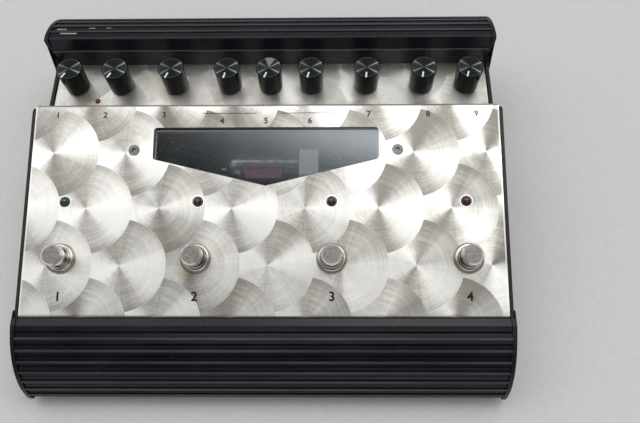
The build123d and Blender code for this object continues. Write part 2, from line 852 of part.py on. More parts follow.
def along_tube(piece):
    """Place a piece drawn upright on the tube's level axis, with its top to the right."""
    return Pos(tube_axis_x, tube_axis_y, tube_axis_z) * Rot(0, 90, 0) * piece


def bulb(radius, half_length):
    """Cylinder about the tube's middle with its lower end domed."""
    body = cylinder(radius, -half_length, half_length)
    return fillet(body.faces().sort_by(Axis.Z)[0].edges(), tube_dome * radius)


def tube_envelope():
    """Thin glass bulb with a domed end and a sealed tip."""
    half = tube_length / 2
    glass = bulb(tube_radius, half) + cylinder(tube_tip_radius, -half - tube_tip_length, -half)
    return along_tube(glass - bulb(tube_radius - tube_wall, half - tube_wall))


def tube_electrodes():
    """Two anodes between mica discs, on rods that stand on the glass base."""
    half = plate_length / 2
    base = tube_length / 2 - tube_wall
    plates = []
    for side in (-1, 1):
        plates.append(block(plate_width, plate_width, -half, half, 0, side * plate_pitch / 2))
    cage = plates[0] + plates[1]
    for end in (-half - mica_gauge, half):
        cage += cylinder(mica_radius, end, end + mica_gauge)
    for x in (-rod_pitch, rod_pitch):
        cage += cylinder(rod_radius, half, base, x, 0)
    return along_tube(cage)


def tube_socket():
    """Pale socket block on a folded bracket that stands on the main board."""
    face = tube_axis_x + tube_length / 2
    board_top = board_height + board_gauge
    back = face + socket_thickness
    shell = Pos(face, tube_axis_y, tube_axis_z) * Box(
        socket_thickness, socket_width, socket_width, align=(Align.MIN, Align.CENTER, Align.CENTER))
    shell = chamfer(shell.edges().filter_by(Axis.X), socket_chamfer)
    upright = block(bracket_gauge, socket_width, board_top, tube_axis_z + socket_width / 2,
                    back + bracket_gauge / 2, tube_axis_y)
    foot = block(bracket_foot, socket_width, board_top, board_top + bracket_gauge,
                 back + bracket_foot / 2, tube_axis_y)
    return [shell, upright + foot]


# ------------------------------------------------------------------ connectors
def rearward(piece, x):
    """Place a piece drawn upright so that its top points to the rear, on the connector wall."""
    return Pos(x, rear_wall, connector_height) * Rot(-90, 0, 0) * piece


def rear_jacks():
    """Jack bodies inside the wall, with threaded bushes through it."""
    jacks = []
    for x in jack_positions:
        body = block(jack_body_width, jack_body_width, -tray_gauge - jack_body_depth, -tray_gauge)
        body += cylinder(jack_bush_radius, -tray_gauge, jack_bush_reach)
        body = chamfer(body.faces().sort_by(Axis.Z)[-1].edges(), jack_bush_chamfer)
        body -= cylinder(jack_bore, jack_bush_reach - jack_bore_depth, jack_bush_reach + cut_past)
        jacks.append(rearward(body, x))
    return jacks


def jack_nuts():
    """Washer and knurled nut of each jack, as one turned ring."""
    inner = jack_bush_radius + jack_nut_gap
    top = jack_washer_thickness + jack_nut_height
    outline = [
        (inner, 0),
        (jack_washer_radius, 0),
        (jack_washer_radius, jack_washer_thickness),
        (jack_nut_radius, jack_washer_thickness),
        (jack_nut_radius, top - jack_nut_chamfer),
        (jack_nut_radius - jack_nut_chamfer, top),
        (inner, top),
    ]
    return [rearward(turned(outline), x) for x in jack_positions]


def power_inlet():
    """Square low-voltage socket with a centre pin, let into the connector wall."""
    flange = inlet_width + 2 * inlet_flange_margin
    body = block(inlet_width, inlet_width, -inlet_depth, inlet_flange_thickness)
    body += block(flange, flange, 0, inlet_flange_thickness)
    socket_foot = inlet_flange_thickness - inlet_socket_depth
    body -= cylinder(inlet_socket_radius, socket_foot, inlet_flange_thickness + cut_past)
    body += cylinder(inlet_pin_radius, socket_foot, inlet_flange_thickness - inlet_pin_recess)
    return rearward(body, inlet_x)


# ------------------------------------------------------------------ feet and screws
def foot_places():
    across = half_width - foot_inset_x
    rows = (front_face + foot_inset_front, rear_wall - foot_inset_rear)
    return [(x, y) for x in (-across, across) for y in rows]


def feet():
    """Tapered rubber feet, recessed for their screws."""
    pad = turned([(0, 0), (foot_radius - foot_taper, 0), (foot_radius, foot_height), (0, foot_height)])
    pad -= cylinder(foot_head_radius + screw_gap, -cut_past, foot_recess)
    pad -= cylinder(screw_shank_radius + screw_gap, 0, foot_height + cut_past)
    return [Pos(x, y, 0) * pad for x, y in foot_places()]


def foot_screws():
    """Flat-headed screws up through the feet into the tray."""
    low = foot_recess - foot_head_height
    screw = cylinder(foot_head_radius, low, foot_recess)
    screw += cylinder(screw_shank_radius, foot_recess, tray_top + foot_screw_end)
    return [Pos(x, y, 0) * screw for x, y in foot_places()]


def case_screws():
    """Countersunk screws of the end caps and the cheeks."""
    screw = countersunk_screw(screw_head_radius, screw_shank_radius, case_screw_length)
    right = []
    for front in (True, False):
        for port in rail_ports(rail_depth(front)):
            spot = rail_plane(front).from_local_coords(Vector(port[0], port[1], 0))
            right.append(Pos(half_width + cap_thickness, spot.Y, spot.Z) * Rot(0, 90, 0) * screw)
    for y in cheek_screw_places():
        right.append(Pos(half_width + cheek_thickness, y, cheek_screw_height) * Rot(0, 90, 0) * screw)
    screws = []
    for piece in right:
        screws += both_sides(piece)
    return screws


# ------------------------------------------------------------------ nodes
def build_nodes():
    nodes = {
        "chassis_tray": [chassis_tray()],
        "front_rail": [rail(True)],
        "rear_rail": [rail(False)],
        "front_rail_end_caps": both_sides(end_cap_right(True)),
        "rear_rail_end_caps": both_sides(end_cap_right(False)),
        "cheek_right": [cheek_right()],
        "cheek_left": [mirror(cheek_right(), Plane.YZ)],
        "main_cover": [main_cover()],
        "knob_deck": [knob_deck()],
        "window_lens": [window_lens()],
        "window_retainer": [window_retainer()],
        "cover_screws": cover_screws(),
        "green_lamp": [green_lamp()],
        "red_lamps": red_lamps(),
        "footswitch_bodies": at_switches(switch_body()),
        "footswitch_nuts": at_switches(dress_nut()) + at_switches(lock_nut()),
        "pot_bodies": at_knobs(pot_body()) + at_knobs(pot_nut()),
        "pot_board": [pot_board()],
        "main_board": [main_board()],
        "board_standoffs": standoffs(),
        "board_parts": board_parts(),
        "tube_envelope": [tube_envelope()],
        "tube_electrodes": [tube_electrodes()],
        "tube_socket": tube_socket(),
        "rear_jacks": rear_jacks(),
        "jack_nuts": jack_nuts(),
        "power_inlet": [power_inlet()],
        "rubber_feet": feet(),
        "case_screws": case_screws() + foot_screws(),
    }
    for i, button in enumerate(at_switches(plunger()), start=1):
        nodes[f"footswitch_{i}"] = [button]
    for prefix, piece in (("knob", knob_body()), ("knob_disc", knob_disc()), ("knob_shaft", pot_shaft())):
        for i, solid in enumerate(at_knobs(piece), start=1):
            nodes[f"{prefix}_{i}"] = [solid]
    return nodes


os.makedirs("parts", exist_ok=True)
for name, solids in build_nodes().items():
    shape = solids[0] if len(solids) == 1 else Compound(children=solids)
    export_step(shape, f"parts/{name}.step")
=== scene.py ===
import json
import math

import bmesh
import bpy
from mathutils import Matrix, Vector

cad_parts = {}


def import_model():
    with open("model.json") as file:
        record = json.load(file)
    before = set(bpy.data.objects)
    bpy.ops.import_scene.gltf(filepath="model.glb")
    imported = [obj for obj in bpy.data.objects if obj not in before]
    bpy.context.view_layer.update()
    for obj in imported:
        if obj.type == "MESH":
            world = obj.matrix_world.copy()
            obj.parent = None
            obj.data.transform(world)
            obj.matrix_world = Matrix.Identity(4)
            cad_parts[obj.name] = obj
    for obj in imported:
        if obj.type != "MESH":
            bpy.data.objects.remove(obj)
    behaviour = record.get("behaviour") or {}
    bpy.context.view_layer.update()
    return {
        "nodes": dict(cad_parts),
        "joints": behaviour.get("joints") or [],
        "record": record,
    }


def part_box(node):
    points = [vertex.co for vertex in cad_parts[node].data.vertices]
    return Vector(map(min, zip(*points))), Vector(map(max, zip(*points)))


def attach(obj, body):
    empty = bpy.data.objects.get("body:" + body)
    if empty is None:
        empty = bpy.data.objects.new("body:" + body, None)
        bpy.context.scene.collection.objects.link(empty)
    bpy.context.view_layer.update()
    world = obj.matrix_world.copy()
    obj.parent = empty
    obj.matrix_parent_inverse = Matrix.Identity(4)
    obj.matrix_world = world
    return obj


# A floor echo unit with an engine-turned steel cover between two ribbed black rails. Lengths are metres.
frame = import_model()
MM = 0.001
SWITCHES = 4
KNOBS = 9


# ------------------------------------------------------------------ places read from the frame
def place_of(node):
    """Middle of a CAD node's box."""
    low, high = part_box(node)
    return (low + high) / 2


def points_of(node):
    """Corners of a CAD node's mesh."""
    return [vertex.co for vertex in frame["nodes"][node].data.vertices]


JOINTS = {joint["name"]: joint for joint in frame["joints"]}
COVER_NORMAL = Vector(JOINTS["footswitch_1_press"]["axis"]).normalized()
UP_SLOPE = Vector((0, COVER_NORMAL.z, -COVER_NORMAL.y))
COVER_LEVEL = max(point.dot(COVER_NORMAL) for point in points_of("main_cover"))
COVER_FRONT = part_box("main_cover")[0].y
COVER_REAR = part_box("main_cover")[1].y      # what lies behind is the knob deck
COVER_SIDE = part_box("main_cover")[1].x
COVER_ORIGIN = Vector((0, COVER_FRONT, (COVER_LEVEL - COVER_FRONT * COVER_NORMAL.y) / COVER_NORMAL.z))
COVER_FOOT = COVER_ORIGIN.dot(UP_SLOPE)     # heights up the slope are counted from here
COVER_FRAME = Matrix((
    (1, 0, 0, COVER_ORIGIN.x),
    (0, UP_SLOPE.y, COVER_NORMAL.y, COVER_ORIGIN.y),
    (0, UP_SLOPE.z, COVER_NORMAL.z, COVER_ORIGIN.z),
    (0, 0, 0, 1),
))
COLUMN_PITCH = place_of("footswitch_2").x - place_of("footswitch_1").x      # of switches and lamps
LAMP_ROW = (place_of("green_lamp") - COVER_ORIGIN).dot(UP_SLOPE)
SWITCH_ROW = (place_of("footswitch_1") - COVER_ORIGIN).dot(UP_SLOPE)
ABOVE_COVER = [point for point in points_of("footswitch_nuts") if point.dot(COVER_NORMAL) > COVER_LEVEL]
NUT_RADIUS = max(point.x for point in ABOVE_COVER) - place_of(f"footswitch_{SWITCHES}").x


# ------------------------------------------------------------------ node helpers
class Graph:
    """Adds shader nodes to one material or world and wires them up."""

    def __init__(self, owner, shader):
        owner.use_nodes = True
        self.owner = owner
        self.tree = owner.node_tree
        self.shader = self.tree.nodes[shader]

    def node(self, kind, **settings):
        made = self.tree.nodes.new(kind)
        for key, value in settings.items():
            setattr(made, key, value)
        return made

    def plug(self, socket, value):
        if isinstance(value, bpy.types.NodeSocket):
            self.tree.links.new(value, socket)
        elif value is not None:
            socket.default_value = value

    def plug_all(self, sockets, values):
        for socket, value in zip(sockets, values):
            self.plug(socket, value)

    def math(self, operation, first, second=None):
        made = self.node("ShaderNodeMath", operation=operation)
        self.plug_all(made.inputs, (first, second))
        return made.outputs[0]

    def add(self, first, second):
        return self.math("ADD", first, second)

    def sub(self, first, second):
        return self.math("SUBTRACT", first, second)

    def mul(self, first, second):
        return self.math("MULTIPLY", first, second)

    def absolute(self, value):
        return self.math("ABSOLUTE", value)

    def hypot(self, side, rise):
        """Length of a flat offset."""
        return self.math("SQRT", self.add(self.mul(side, side), self.mul(rise, rise)))

    def between(self, share, first, last):
        """First where the share is 0, last where it is 1."""
        return self.ramp(share, 0.0, 1.0, first, last)

    def sway(self, value, reach):
        """A value from 0 to 1 as a swing about zero."""
        return self.mul(self.sub(value, 0.5), reach)

    def vector(self, x=0.0, y=0.0, z=0.0):
        made = self.node("ShaderNodeCombineXYZ")
        self.plug_all(made.inputs, (x, y, z))
        return made.outputs[0]

    def vector_math(self, operation, first, second):
        made = self.node("ShaderNodeVectorMath", operation=operation)
        self.plug_all(made.inputs, (first, second))
        return made.outputs

    def dot(self, vector, direction):
        return self.vector_math("DOT_PRODUCT", vector, direction)["Value"]

    def distance(self, vector, point):
        return self.vector_math("DISTANCE", vector, point)["Value"]

    def stretch(self, vector, scales):
        return self.vector_math("MULTIPLY", vector, scales)[0]

    def along(self, direction, amount):
        """A direction times an amount."""
        made = self.node("ShaderNodeVectorMath", operation="SCALE")
        self.plug(made.inputs[0], direction)
        self.plug(made.inputs["Scale"], amount)
        return made.outputs[0]

    def place(self):
        """Point in the object's own coordinates, which are the shared frame's."""
        return self.node("ShaderNodeTexCoord").outputs["Object"]

    def split(self, vector):
        made = self.node("ShaderNodeSeparateXYZ")
        self.plug(made.inputs[0], vector)
        return made.outputs

    def noise(self, vector, scale, detail=2.0, roughness=0.5):
        """Soft noise from 0 to 1. Over places in metres, a scale of 1000 gives patches of about 1 mm."""
        made = self.node("ShaderNodeTexNoise")
        self.plug(made.inputs["Vector"], vector)
        made.inputs["Scale"].default_value = scale
        made.inputs["Detail"].default_value = detail
        made.inputs["Roughness"].default_value = roughness
        return made.outputs["Fac"]

    def cells(self, vector, scale):
        """Distance to the nearest scattered point."""
        made = self.node("ShaderNodeTexVoronoi")
        self.plug(made.inputs["Vector"], vector)
        made.inputs["Scale"].default_value = scale
        return made.outputs["Distance"]

    def white(self, vector):
        """A chance value from 0 to 1 for each vector."""
        made = self.node("ShaderNodeTexWhiteNoise")
        self.plug(made.inputs["Vector"], vector)
        return made.outputs["Value"]

    def ramp(self, value, low, high, first=0.0, last=1.0, smooth=True):
        """Map a range onto another, held at its ends."""
        made = self.node("ShaderNodeMapRange", interpolation_type="SMOOTHSTEP" if smooth else "LINEAR")
        self.plug_all(made.inputs, (value, low, high, first, last))
        return made.outputs[0]

    def band(self, value, middle, edge, core):
        """1 within core of the middle, fading to 0 at edge."""
        return self.ramp(self.absolute(self.sub(value, middle)), edge, core)

    def patches(self, vector, scale, low, high, detail=2.0, roughness=0.5):
        """Noise as soft patches: 0 up to low, 1 from high."""
        return self.ramp(self.noise(vector, scale, detail, roughness), low, high)

    def specks(self, vector, scale, edge, core, where):
        """Round specks, kept where another mask is."""
        return self.mul(self.ramp(self.cells(vector, scale), edge, core), where)

    def blend(self, share, first, second):
        made = self.node("ShaderNodeMix", data_type="RGBA")
        self.plug(made.inputs[0], share)
        for socket, colour in zip(made.inputs[6:8], (first, second)):
            self.plug(socket, (*colour, 1) if isinstance(colour, tuple) else colour)
        return made.outputs[2]

    def lay(self, colour, mask, paint, strength):
        """Colour with a paint laid over it where the mask is, at most at the strength."""
        return self.blend(self.mul(mask, strength), colour, paint)

    def bump(self, height, depth):
        """Normal of a fine relief that is this deep."""
        made = self.node("ShaderNodeBump")
        made.inputs["Distance"].default_value = depth
        self.plug(made.inputs["Height"], height)
        return made.outputs[0]

    def set(self, **inputs):
        """Plug the shader's inputs, named with underscores for spaces."""
        for name, value in inputs.items():
            value = (*value, 1) if isinstance(value, tuple) else value
            self.plug(self.shader.inputs[name.replace("_", " ")], value)


def material(name):
    """Graph of a new material."""
    return Graph(bpy.data.materials.new(name), "Principled BSDF")


# ------------------------------------------------------------------ places on the cover
def on_cover(g, place):
    """How far a point lies across and up the cover, from the middle of its front edge."""
    return g.split(place)[0], g.sub(g.dot(place, UP_SLOPE), COVER_FOOT)


def on_deck(g, place):
    """1 on the knob deck, 0 on the cover."""
    return g.math("GREATER_THAN", g.split(place)[1], COVER_REAR)


def from_column(g, across, up, row):
    """Distance from the axis of the nearest foot switch or lamp, whose row lies this far up the cover."""
    side = g.sub(g.math("FLOORED_MODULO", g.add(across, 2 * COLUMN_PITCH), COLUMN_PITCH), COLUMN_PITCH / 2)
    return g.hypot(side, g.sub(up, row))


# ------------------------------------------------------------------ materials: engine-turned steel
DISC_RADIUS = 24.2 * MM
DISC_PITCH = 38.2 * MM        # along a row
ROW_PITCH = 30.1 * MM
ROW_START = -3.6 * MM         # first row, up the slope from the cover's front edge
ROW_OFFSET = -17.2 * MM       # across, of the first row; every second row is half a pitch further
NO_DISC = 10.0                # stands for a row that doesn't reach the point
RIM_HIGHLIGHT = (0.40 * MM, 0.10 * MM)      # inward from a disc's edge, where its painted rim highlight begins and is full
RIM_SHADE = (6.0 * MM, 0.40 * MM)      # the same for the painted shade ring inside it

LEAN_ACROSS = 8.7             # turn of the painted fans of highlight with a disc's place across, radians a metre
LEAN_CHANCE = 0.5
SPOKE_CHANCE = 9.0            # keeps the streaks of two discs unlike
FAN_SCALE = 0.85
STREAK_SCALE = 7.0
RING_SCALE = 1350.0
RING_BAND_SCALE = 230.0
ARC_SPREAD = 1.3 * MM         # how soon a brush mark fades round its disc

STEEL_TONES = (-0.60, 0.50)   # tones that show as the dark and as the bright steel
STEEL_DARK = (0.25, 0.237, 0.208)
STEEL_BRIGHT = (0.88, 0.865, 0.82)
DECK_PAINTED_LIGHT = 0.52              # painted light added to the tone on the knob deck


def disc_of_row(g, across, up, row):
    """Centre of the left-most disc of one row over a point, or a far-off value."""
    centre_up = g.add(g.mul(row, ROW_PITCH), ROW_START)
    rise = g.sub(up, centre_up)
    inside = g.sub(DISC_RADIUS ** 2, g.mul(rise, rise))
    reach = g.math("SQRT", g.math("MAXIMUM", inside, 0.0))
    odd = g.math("FLOORED_MODULO", row, 2.0)
    offset = g.add(g.mul(odd, DISC_PITCH / 2), ROW_OFFSET)
    steps = g.math("CEIL", g.math("DIVIDE", g.sub(g.sub(across, reach), offset), DISC_PITCH))
    centre = g.add(g.mul(steps, DISC_PITCH), offset)
    missed = g.math("GREATER_THAN", centre, g.add(across, reach))
    return g.add(centre, g.mul(missed, NO_DISC)), centre_up


def disc_under(g, across, up):
    """Offset from the middle of the disc on top, that middle's place across, and a chance value."""
    row = g.math("FLOOR", g.math("DIVIDE", g.sub(up, ROW_START), ROW_PITCH))
    low_across, low_up = disc_of_row(g, across, up, row)
    high_across, high_up = disc_of_row(g, across, up, g.add(row, 1.0))
    take_high = g.math("LESS_THAN", high_across, low_across)
    centre_across = g.math("MINIMUM", low_across, high_across)
    centre_up = g.add(low_up, g.mul(take_high, g.sub(high_up, low_up)))
    whole_millimetres = [g.math("ROUND", g.mul(centre, 1 / MM)) for centre in (centre_across, centre_up)]
    chance = g.white(g.vector(*whole_millimetres))
    return g.sub(across, centre_across), g.sub(up, centre_up), centre_across, chance


def brush_marks(g, side, rise, centre_across, chance):
    """Tone of the brushing with painted fans of highlight and shade, a painted highlight along each disc's
    rim with painted shade inside it, and its streaks and rings, which the shine and the relief follow.
    """
    radius = g.hypot(side, rise)
    angle = g.math("ARCTAN2", rise, side)
    lean = g.add(g.mul(centre_across, LEAN_ACROSS), g.mul(chance, LEAN_CHANCE))
    painted_bow_tie = g.math("COSINE", g.add(g.mul(angle, 2.0), lean))
    inverse = g.math("DIVIDE", 1.0, radius)
    spoke = g.vector(g.mul(side, inverse), g.mul(rise, inverse), g.mul(chance, SPOKE_CHANCE))
    painted_fan_noise = g.noise(spoke, FAN_SCALE, 0.5)
    streaks = g.noise(spoke, STREAK_SCALE, 3.0, 0.65)
    arcs = g.vector(radius, g.mul(g.math("COSINE", angle), ARC_SPREAD),
                    g.mul(g.math("SINE", g.add(angle, chance)), ARC_SPREAD))
    rings = g.noise(arcs, RING_SCALE, 3.0, 0.75)
    ring_bands = g.noise(g.vector(radius, chance), RING_BAND_SCALE, 1.0)
    # Painted highlight and shade: the twofold wave and the fan noise paint fans of light into each disc.
    tone = g.mul(painted_bow_tie, 0.30)
    for marks, reach in ((painted_fan_noise, 1.35), (streaks, 0.34), (rings, 0.55), (ring_bands, 0.24), (chance, 0.26)):
        tone = g.add(tone, g.sway(marks, reach))
    # Painted highlight along each disc's rim and painted shade in a ring inside it.
    line, shade = (g.ramp(radius, DISC_RADIUS - begin, DISC_RADIUS - full)
                   for begin, full in (RIM_HIGHLIGHT, RIM_SHADE))
    tone = g.add(tone, g.sub(g.mul(line, 0.12), g.mul(shade, 0.10)))
    return tone, streaks, rings


TARNISH = ((0.62, 0.55, 0.30), 0.35)   # paints with their strength
GRIME = ((0.50, 0.455, 0.35), 0.50)
RUST = ((0.20, 0.13, 0.07), 0.8)
STAIN = (0.60, 0.53, 0.22)
STAINS = (                    # across and up the cover, and strength
    (-42.5 * MM, 22.5 * MM, 0.55),
    (-70.5 * MM, 97.0 * MM, 0.5),
)
STAIN_RADIUS = (2.2 * MM, 0.9 * MM)    # its edge, and where it is full
STAIN_RAGGED = 3.2 * MM


def steel_wear(g, place, deck, colour):
    """Tarnish, specks and the two stains, and grime on the knob deck."""
    blotches = g.patches(place, 95.0, 0.66, 0.80, detail=4.0, roughness=0.6)
    smudges = g.patches(place, 60.0, 0.42, 0.64, detail=4.0, roughness=0.62)
    specks = g.specks(place, 75.0, 0.035, 0.02, g.patches(place, 22.0, 0.5, 0.58, detail=1.0))
    for mask, paint in ((blotches, TARNISH), (g.mul(smudges, deck), GRIME), (specks, RUST)):
        colour = g.lay(colour, mask, *paint)
    for stain_across, stain_up, strength in STAINS:
        from_stain = g.distance(place, COVER_FRAME @ Vector((stain_across, stain_up, 0)))
        ragged = g.add(from_stain, g.sway(g.noise(place, 900.0, 3.0), STAIN_RAGGED))
        colour = g.lay(colour, g.ramp(ragged, *STAIN_RADIUS), STAIN, strength)
    return colour


FOLD_SHADE = ((0.40, 0.37, 0.30), 0.75)
FOLD_BEGIN = 2.4 * MM         # in front of the cover's rear wall
FOLD_FULL = 0.3 * MM
# Painted highlight along the sheet's side and front edges.
EDGE_HIGHLIGHT = ((0.93, 0.91, 0.84), 0.7)
SIDE_HIGHLIGHT_BAND = (0.95 * MM, 0.65 * MM)      # inward from the sheet's sides
FRONT_HIGHLIGHT_BAND = (0.75 * MM, 0.50 * MM)     # up the slope from its front edge
# painted highlight round the lamp holes
LAMP_RING_HIGHLIGHT = (0.98, 0.98, 0.97)
LAMP_RING = 3.0 * MM          # radius of the painted highlight ring round a lamp's hole
LAMP_RING_HALF = (0.42 * MM, 0.26 * MM)
NUT_SHADE = ((0.20, 0.185, 0.14), 0.65)
NUT_SHADE_GAP = 0.1 * MM
NUT_SHADE_HALF = (0.45 * MM, 0.20 * MM)


def steel_edges(g, place, across, up, deck, colour):
    """Painted shade at the rear fold, painted highlights along the sheet's side and front edges and round the
    lamp holes, and a painted shadow round each nut.
    """
    folded = g.ramp(g.split(place)[1], COVER_REAR - FOLD_BEGIN, COVER_REAR - FOLD_FULL)
    colour = g.lay(colour, g.mul(folded, g.sub(1.0, deck)), *FOLD_SHADE)
    # Painted highlight along the side and front edges.
    side_edge_highlight = g.ramp(g.absolute(across), *(COVER_SIDE - inward for inward in SIDE_HIGHLIGHT_BAND))
    colour = g.lay(colour, g.math("MAXIMUM", side_edge_highlight, g.ramp(up, *FRONT_HIGHLIGHT_BAND)), *EDGE_HIGHLIGHT)
    # Painted highlight in a ring round each lamp's hole.
    lamp_edge = g.band(from_column(g, across, up, LAMP_ROW), LAMP_RING, *LAMP_RING_HALF)
    colour = g.blend(lamp_edge, colour, LAMP_RING_HIGHLIGHT)
    # Painted shadow where each nut sits on the cover.
    nut_shadow = g.band(from_column(g, across, up, SWITCH_ROW), NUT_RADIUS + NUT_SHADE_GAP, *NUT_SHADE_HALF)
    return g.lay(colour, nut_shadow, *NUT_SHADE)


def swirl_steel():
    """Overlapping brushed discs, the left one always on top, with fine rings, painted fans of highlight and
    shade, and painted light on the knob deck.
    """
    g = material("swirl_steel")
    place = g.place()
    across, up = on_cover(g, place)
    deck = on_deck(g, place)
    side, rise, centre_across, chance = disc_under(g, across, up)
    tone, streaks, rings = brush_marks(g, side, rise, centre_across, chance)
    # The knob deck's tone is raised as painted light.
    share = g.ramp(g.add(tone, g.mul(deck, DECK_PAINTED_LIGHT)), *STEEL_TONES)
    colour = steel_wear(g, place, deck, g.blend(share, STEEL_DARK, STEEL_BRIGHT))
    colour = steel_edges(g, place, across, up, deck, colour)
    rough = g.add(g.between(share, 0.42, 0.34), g.sway(streaks, 0.10))
    outward = g.vector_math("ADD", g.along((1, 0, 0), side), g.along(UP_SLOPE, rise))[0]
    g.set(Base_Color=colour, Roughness=rough, Metallic=0.85, Anisotropic=0.66, Tangent=outward,
          Normal=g.bump(rings, 0.006 * MM))
    return g.owner


# ------------------------------------------------------------------ materials: the rest
DUST = (0.45, 0.44, 0.42)


def satin(name, colour, lighter, roughness, grain_scale, grain_depth, metallic=0.0, dust=0.0, shine=0.5):
    """Satin surface with fine grain, slight mottling and, where asked for, a little dust."""
    g = material(name)
    place = g.place()
    grain = g.noise(place, grain_scale, 3.0, 0.6)
    mottle = g.noise(place, 45.0, 3.0)
    tint = g.blend(g.ramp(mottle, 0.3, 0.7), colour, lighter)
    if dust:
        specks = g.specks(place, 420.0, 0.13, 0.05, g.patches(place, 60.0, 0.52, 0.62))
        tint = g.lay(tint, specks, DUST, dust)
    rough = g.add(roughness, g.add(g.sway(grain, 0.16), g.sway(mottle, 0.14)))
    g.set(Base_Color=tint, Roughness=rough, Metallic=metallic, Specular_IOR_Level=shine,
          Normal=g.bump(grain, grain_depth))
    return g.owner


RAIL_ARC = 42.6 * MM          # crest of the ribs from the centre of a rail's curve
RAIL_CENTRES = ((-69.2 * MM, 5.84 * MM), (69.2 * MM, 31.96 * MM))
CREST_DEPTH = (0.20 * MM, 0.05 * MM)   # under the crest, where the painted highlight and wear line begins and is full
BEAD_LEVEL = 64.3 * MM        # middle of the bead on the rear rail's inner face
BEAD_FACE = 74.0 * MM         # what lies in front of this on that rail, at that level, is the bead
BEAD_HALF = (0.62 * MM, 0.48 * MM)
ANODISED = (0.006, 0.007, 0.010)
ANODISED_LIGHTER = (0.010, 0.012, 0.016)
# A paler grey, painted as light over the rear rail and as highlight and wear along the rib crests.
RAIL_SHEEN_AND_WEAR = (0.085, 0.092, 0.105)
RIB_HIGHLIGHT_AND_WEAR = (RAIL_SHEEN_AND_WEAR, 0.75)     # paints with their strength
# painted highlight along the bead
BEAD_SHINE = ((0.13, 0.135, 0.145), 0.8)
RAIL_DUST = ((0.40, 0.42, 0.44), 0.5)
SCRATCHED = (0.66, 0.67, 0.68)
SCRATCHES = (                 # on top of the rear rail: left and right end, and row from the front
    (-122.0 * MM, -116.8 * MM, 84.6 * MM),
    (-103.8 * MM, -100.2 * MM, 85.5 * MM),
    (-93.8 * MM, -90.8 * MM, 85.5 * MM),
    (-119.2 * MM, -109.8 * MM, 80.2 * MM),
)
SCRATCH_FADE = 0.5 * MM       # at its ends
SCRATCH_HALF = (0.42 * MM, 0.22 * MM)


def rib_crests(g, y, z):
    """1 along the crests of both rails' ribs."""
    crests = []
    for centre_y, centre_z in RAIL_CENTRES:
        reach = g.hypot(g.sub(y, centre_y), g.sub(z, centre_z))
        this_rail = g.math("GREATER_THAN", g.mul(y, centre_y), 0.0)
        crests.append(g.mul(this_rail, g.ramp(reach, *(RAIL_ARC - depth for depth in CREST_DEPTH))))
    return g.math("MAXIMUM", *crests)


def scratched(g, place, tint):
    """The four bright, broken scratches on the rear rail."""
    x, y, z = g.split(place)
    broken = g.ramp(g.noise(g.stretch(place, (0.3, 1, 1)), 1500.0), 0.38, 0.50, 0.45, 1.0)
    on_top = g.math("GREATER_THAN", z, RAIL_CENTRES[1][1])
    for left, right, row in SCRATCHES:
        half = (right - left) / 2
        lengthwise = g.band(x, (left + right) / 2, half + SCRATCH_FADE, half - SCRATCH_FADE)
        scratch = g.mul(lengthwise, g.band(y, row, *SCRATCH_HALF))
        tint = g.blend(g.mul(g.mul(scratch, on_top), broken), tint, SCRATCHED)
    return tint


def ribbed_rail():
    """Black anodised extrusion with fine die lines, a painted highlight with some wear along its ribs, a
    painted highlight on the rear rail's bead, and painted light over the rear rail.
    """
    g = material("rail_black")
    place = g.place()
    _, y, z = g.split(place)
    lines = g.noise(g.stretch(place, (0.04, 1, 1)), 1000.0, 3.0, 0.6)
    mottle = g.noise(place, 40.0, 3.0)
    tint = g.blend(g.ramp(mottle, 0.3, 0.7), ANODISED, ANODISED_LIGHTER)
    # Painted light: the whole rear rail is made paler.
    paler = g.ramp(g.noise(place, 25.0, 3.0), 0.3, 0.7, 0.10, 0.18)
    tint = g.blend(g.mul(g.math("GREATER_THAN", y, 0.0), paler), tint, RAIL_SHEEN_AND_WEAR)
    # Painted highlight, with some wear, along the rib crests.
    worn = g.ramp(g.noise(g.stretch(place, (0.2, 1, 1)), 90.0, 3.0), 0.3, 0.7, 0.45, 1.0)
    tint = g.lay(tint, g.mul(rib_crests(g, y, z), worn), *RIB_HIGHLIGHT_AND_WEAR)
    # Painted highlight along the bead.
    on_bead = g.mul(g.math("LESS_THAN", y, BEAD_FACE), g.band(z, BEAD_LEVEL, *BEAD_HALF))
    tint = g.lay(tint, on_bead, *BEAD_SHINE)
    dust = g.specks(place, 420.0, 0.11, 0.04, g.patches(place, 60.0, 0.52, 0.62))
    tint = scratched(g, place, g.lay(tint, dust, *RAIL_DUST))
    rough = g.add(0.27, g.add(g.sway(lines, 0.14), g.sway(mottle, 0.12)))
    g.set(Base_Color=tint, Roughness=rough, Metallic=0.15, Specular_IOR_Level=0.29,
          Normal=g.bump(lines, 0.004 * MM))
    return g.owner


TARNISH_RANGE = (0.45, 0.75)  # of the noise
TARNISH_STRENGTH = 0.6


def plated(name, colour, darker, roughness, blotch_scale=160.0):
    """Bright plated metal with light tarnish and hairline scratches."""
    g = material(name)
    place = g.place()
    tarnish = g.patches(place, blotch_scale, *TARNISH_RANGE, detail=4.0, roughness=0.6)
    scratches = g.noise(g.stretch(place, (1, 14, 3)), 700.0)
    tint = g.lay(colour, tarnish, darker, TARNISH_STRENGTH)
    rough = g.add(roughness, g.add(g.mul(tarnish, 0.10), g.mul(g.ramp(scratches, 0.5, 0.75), 0.10)))
    g.set(Base_Color=tint, Roughness=rough, Metallic=1.0, Normal=g.bump(scratches, 0.004 * MM))
    return g.owner


NICKEL = (0.60, 0.58, 0.505)
NICKEL_TARNISH = (0.36, 0.34, 0.27)
NUT_FOOT_BORE_SHADE = ((0.13, 0.12, 0.09), 0.8)
NUT_FOOT = (0.75 * MM, 0.35 * MM)      # above the cover, where its painted shade begins and is full
NUT_BORE = (1.35 * MM, 1.75 * MM)      # the same, inward from its rim


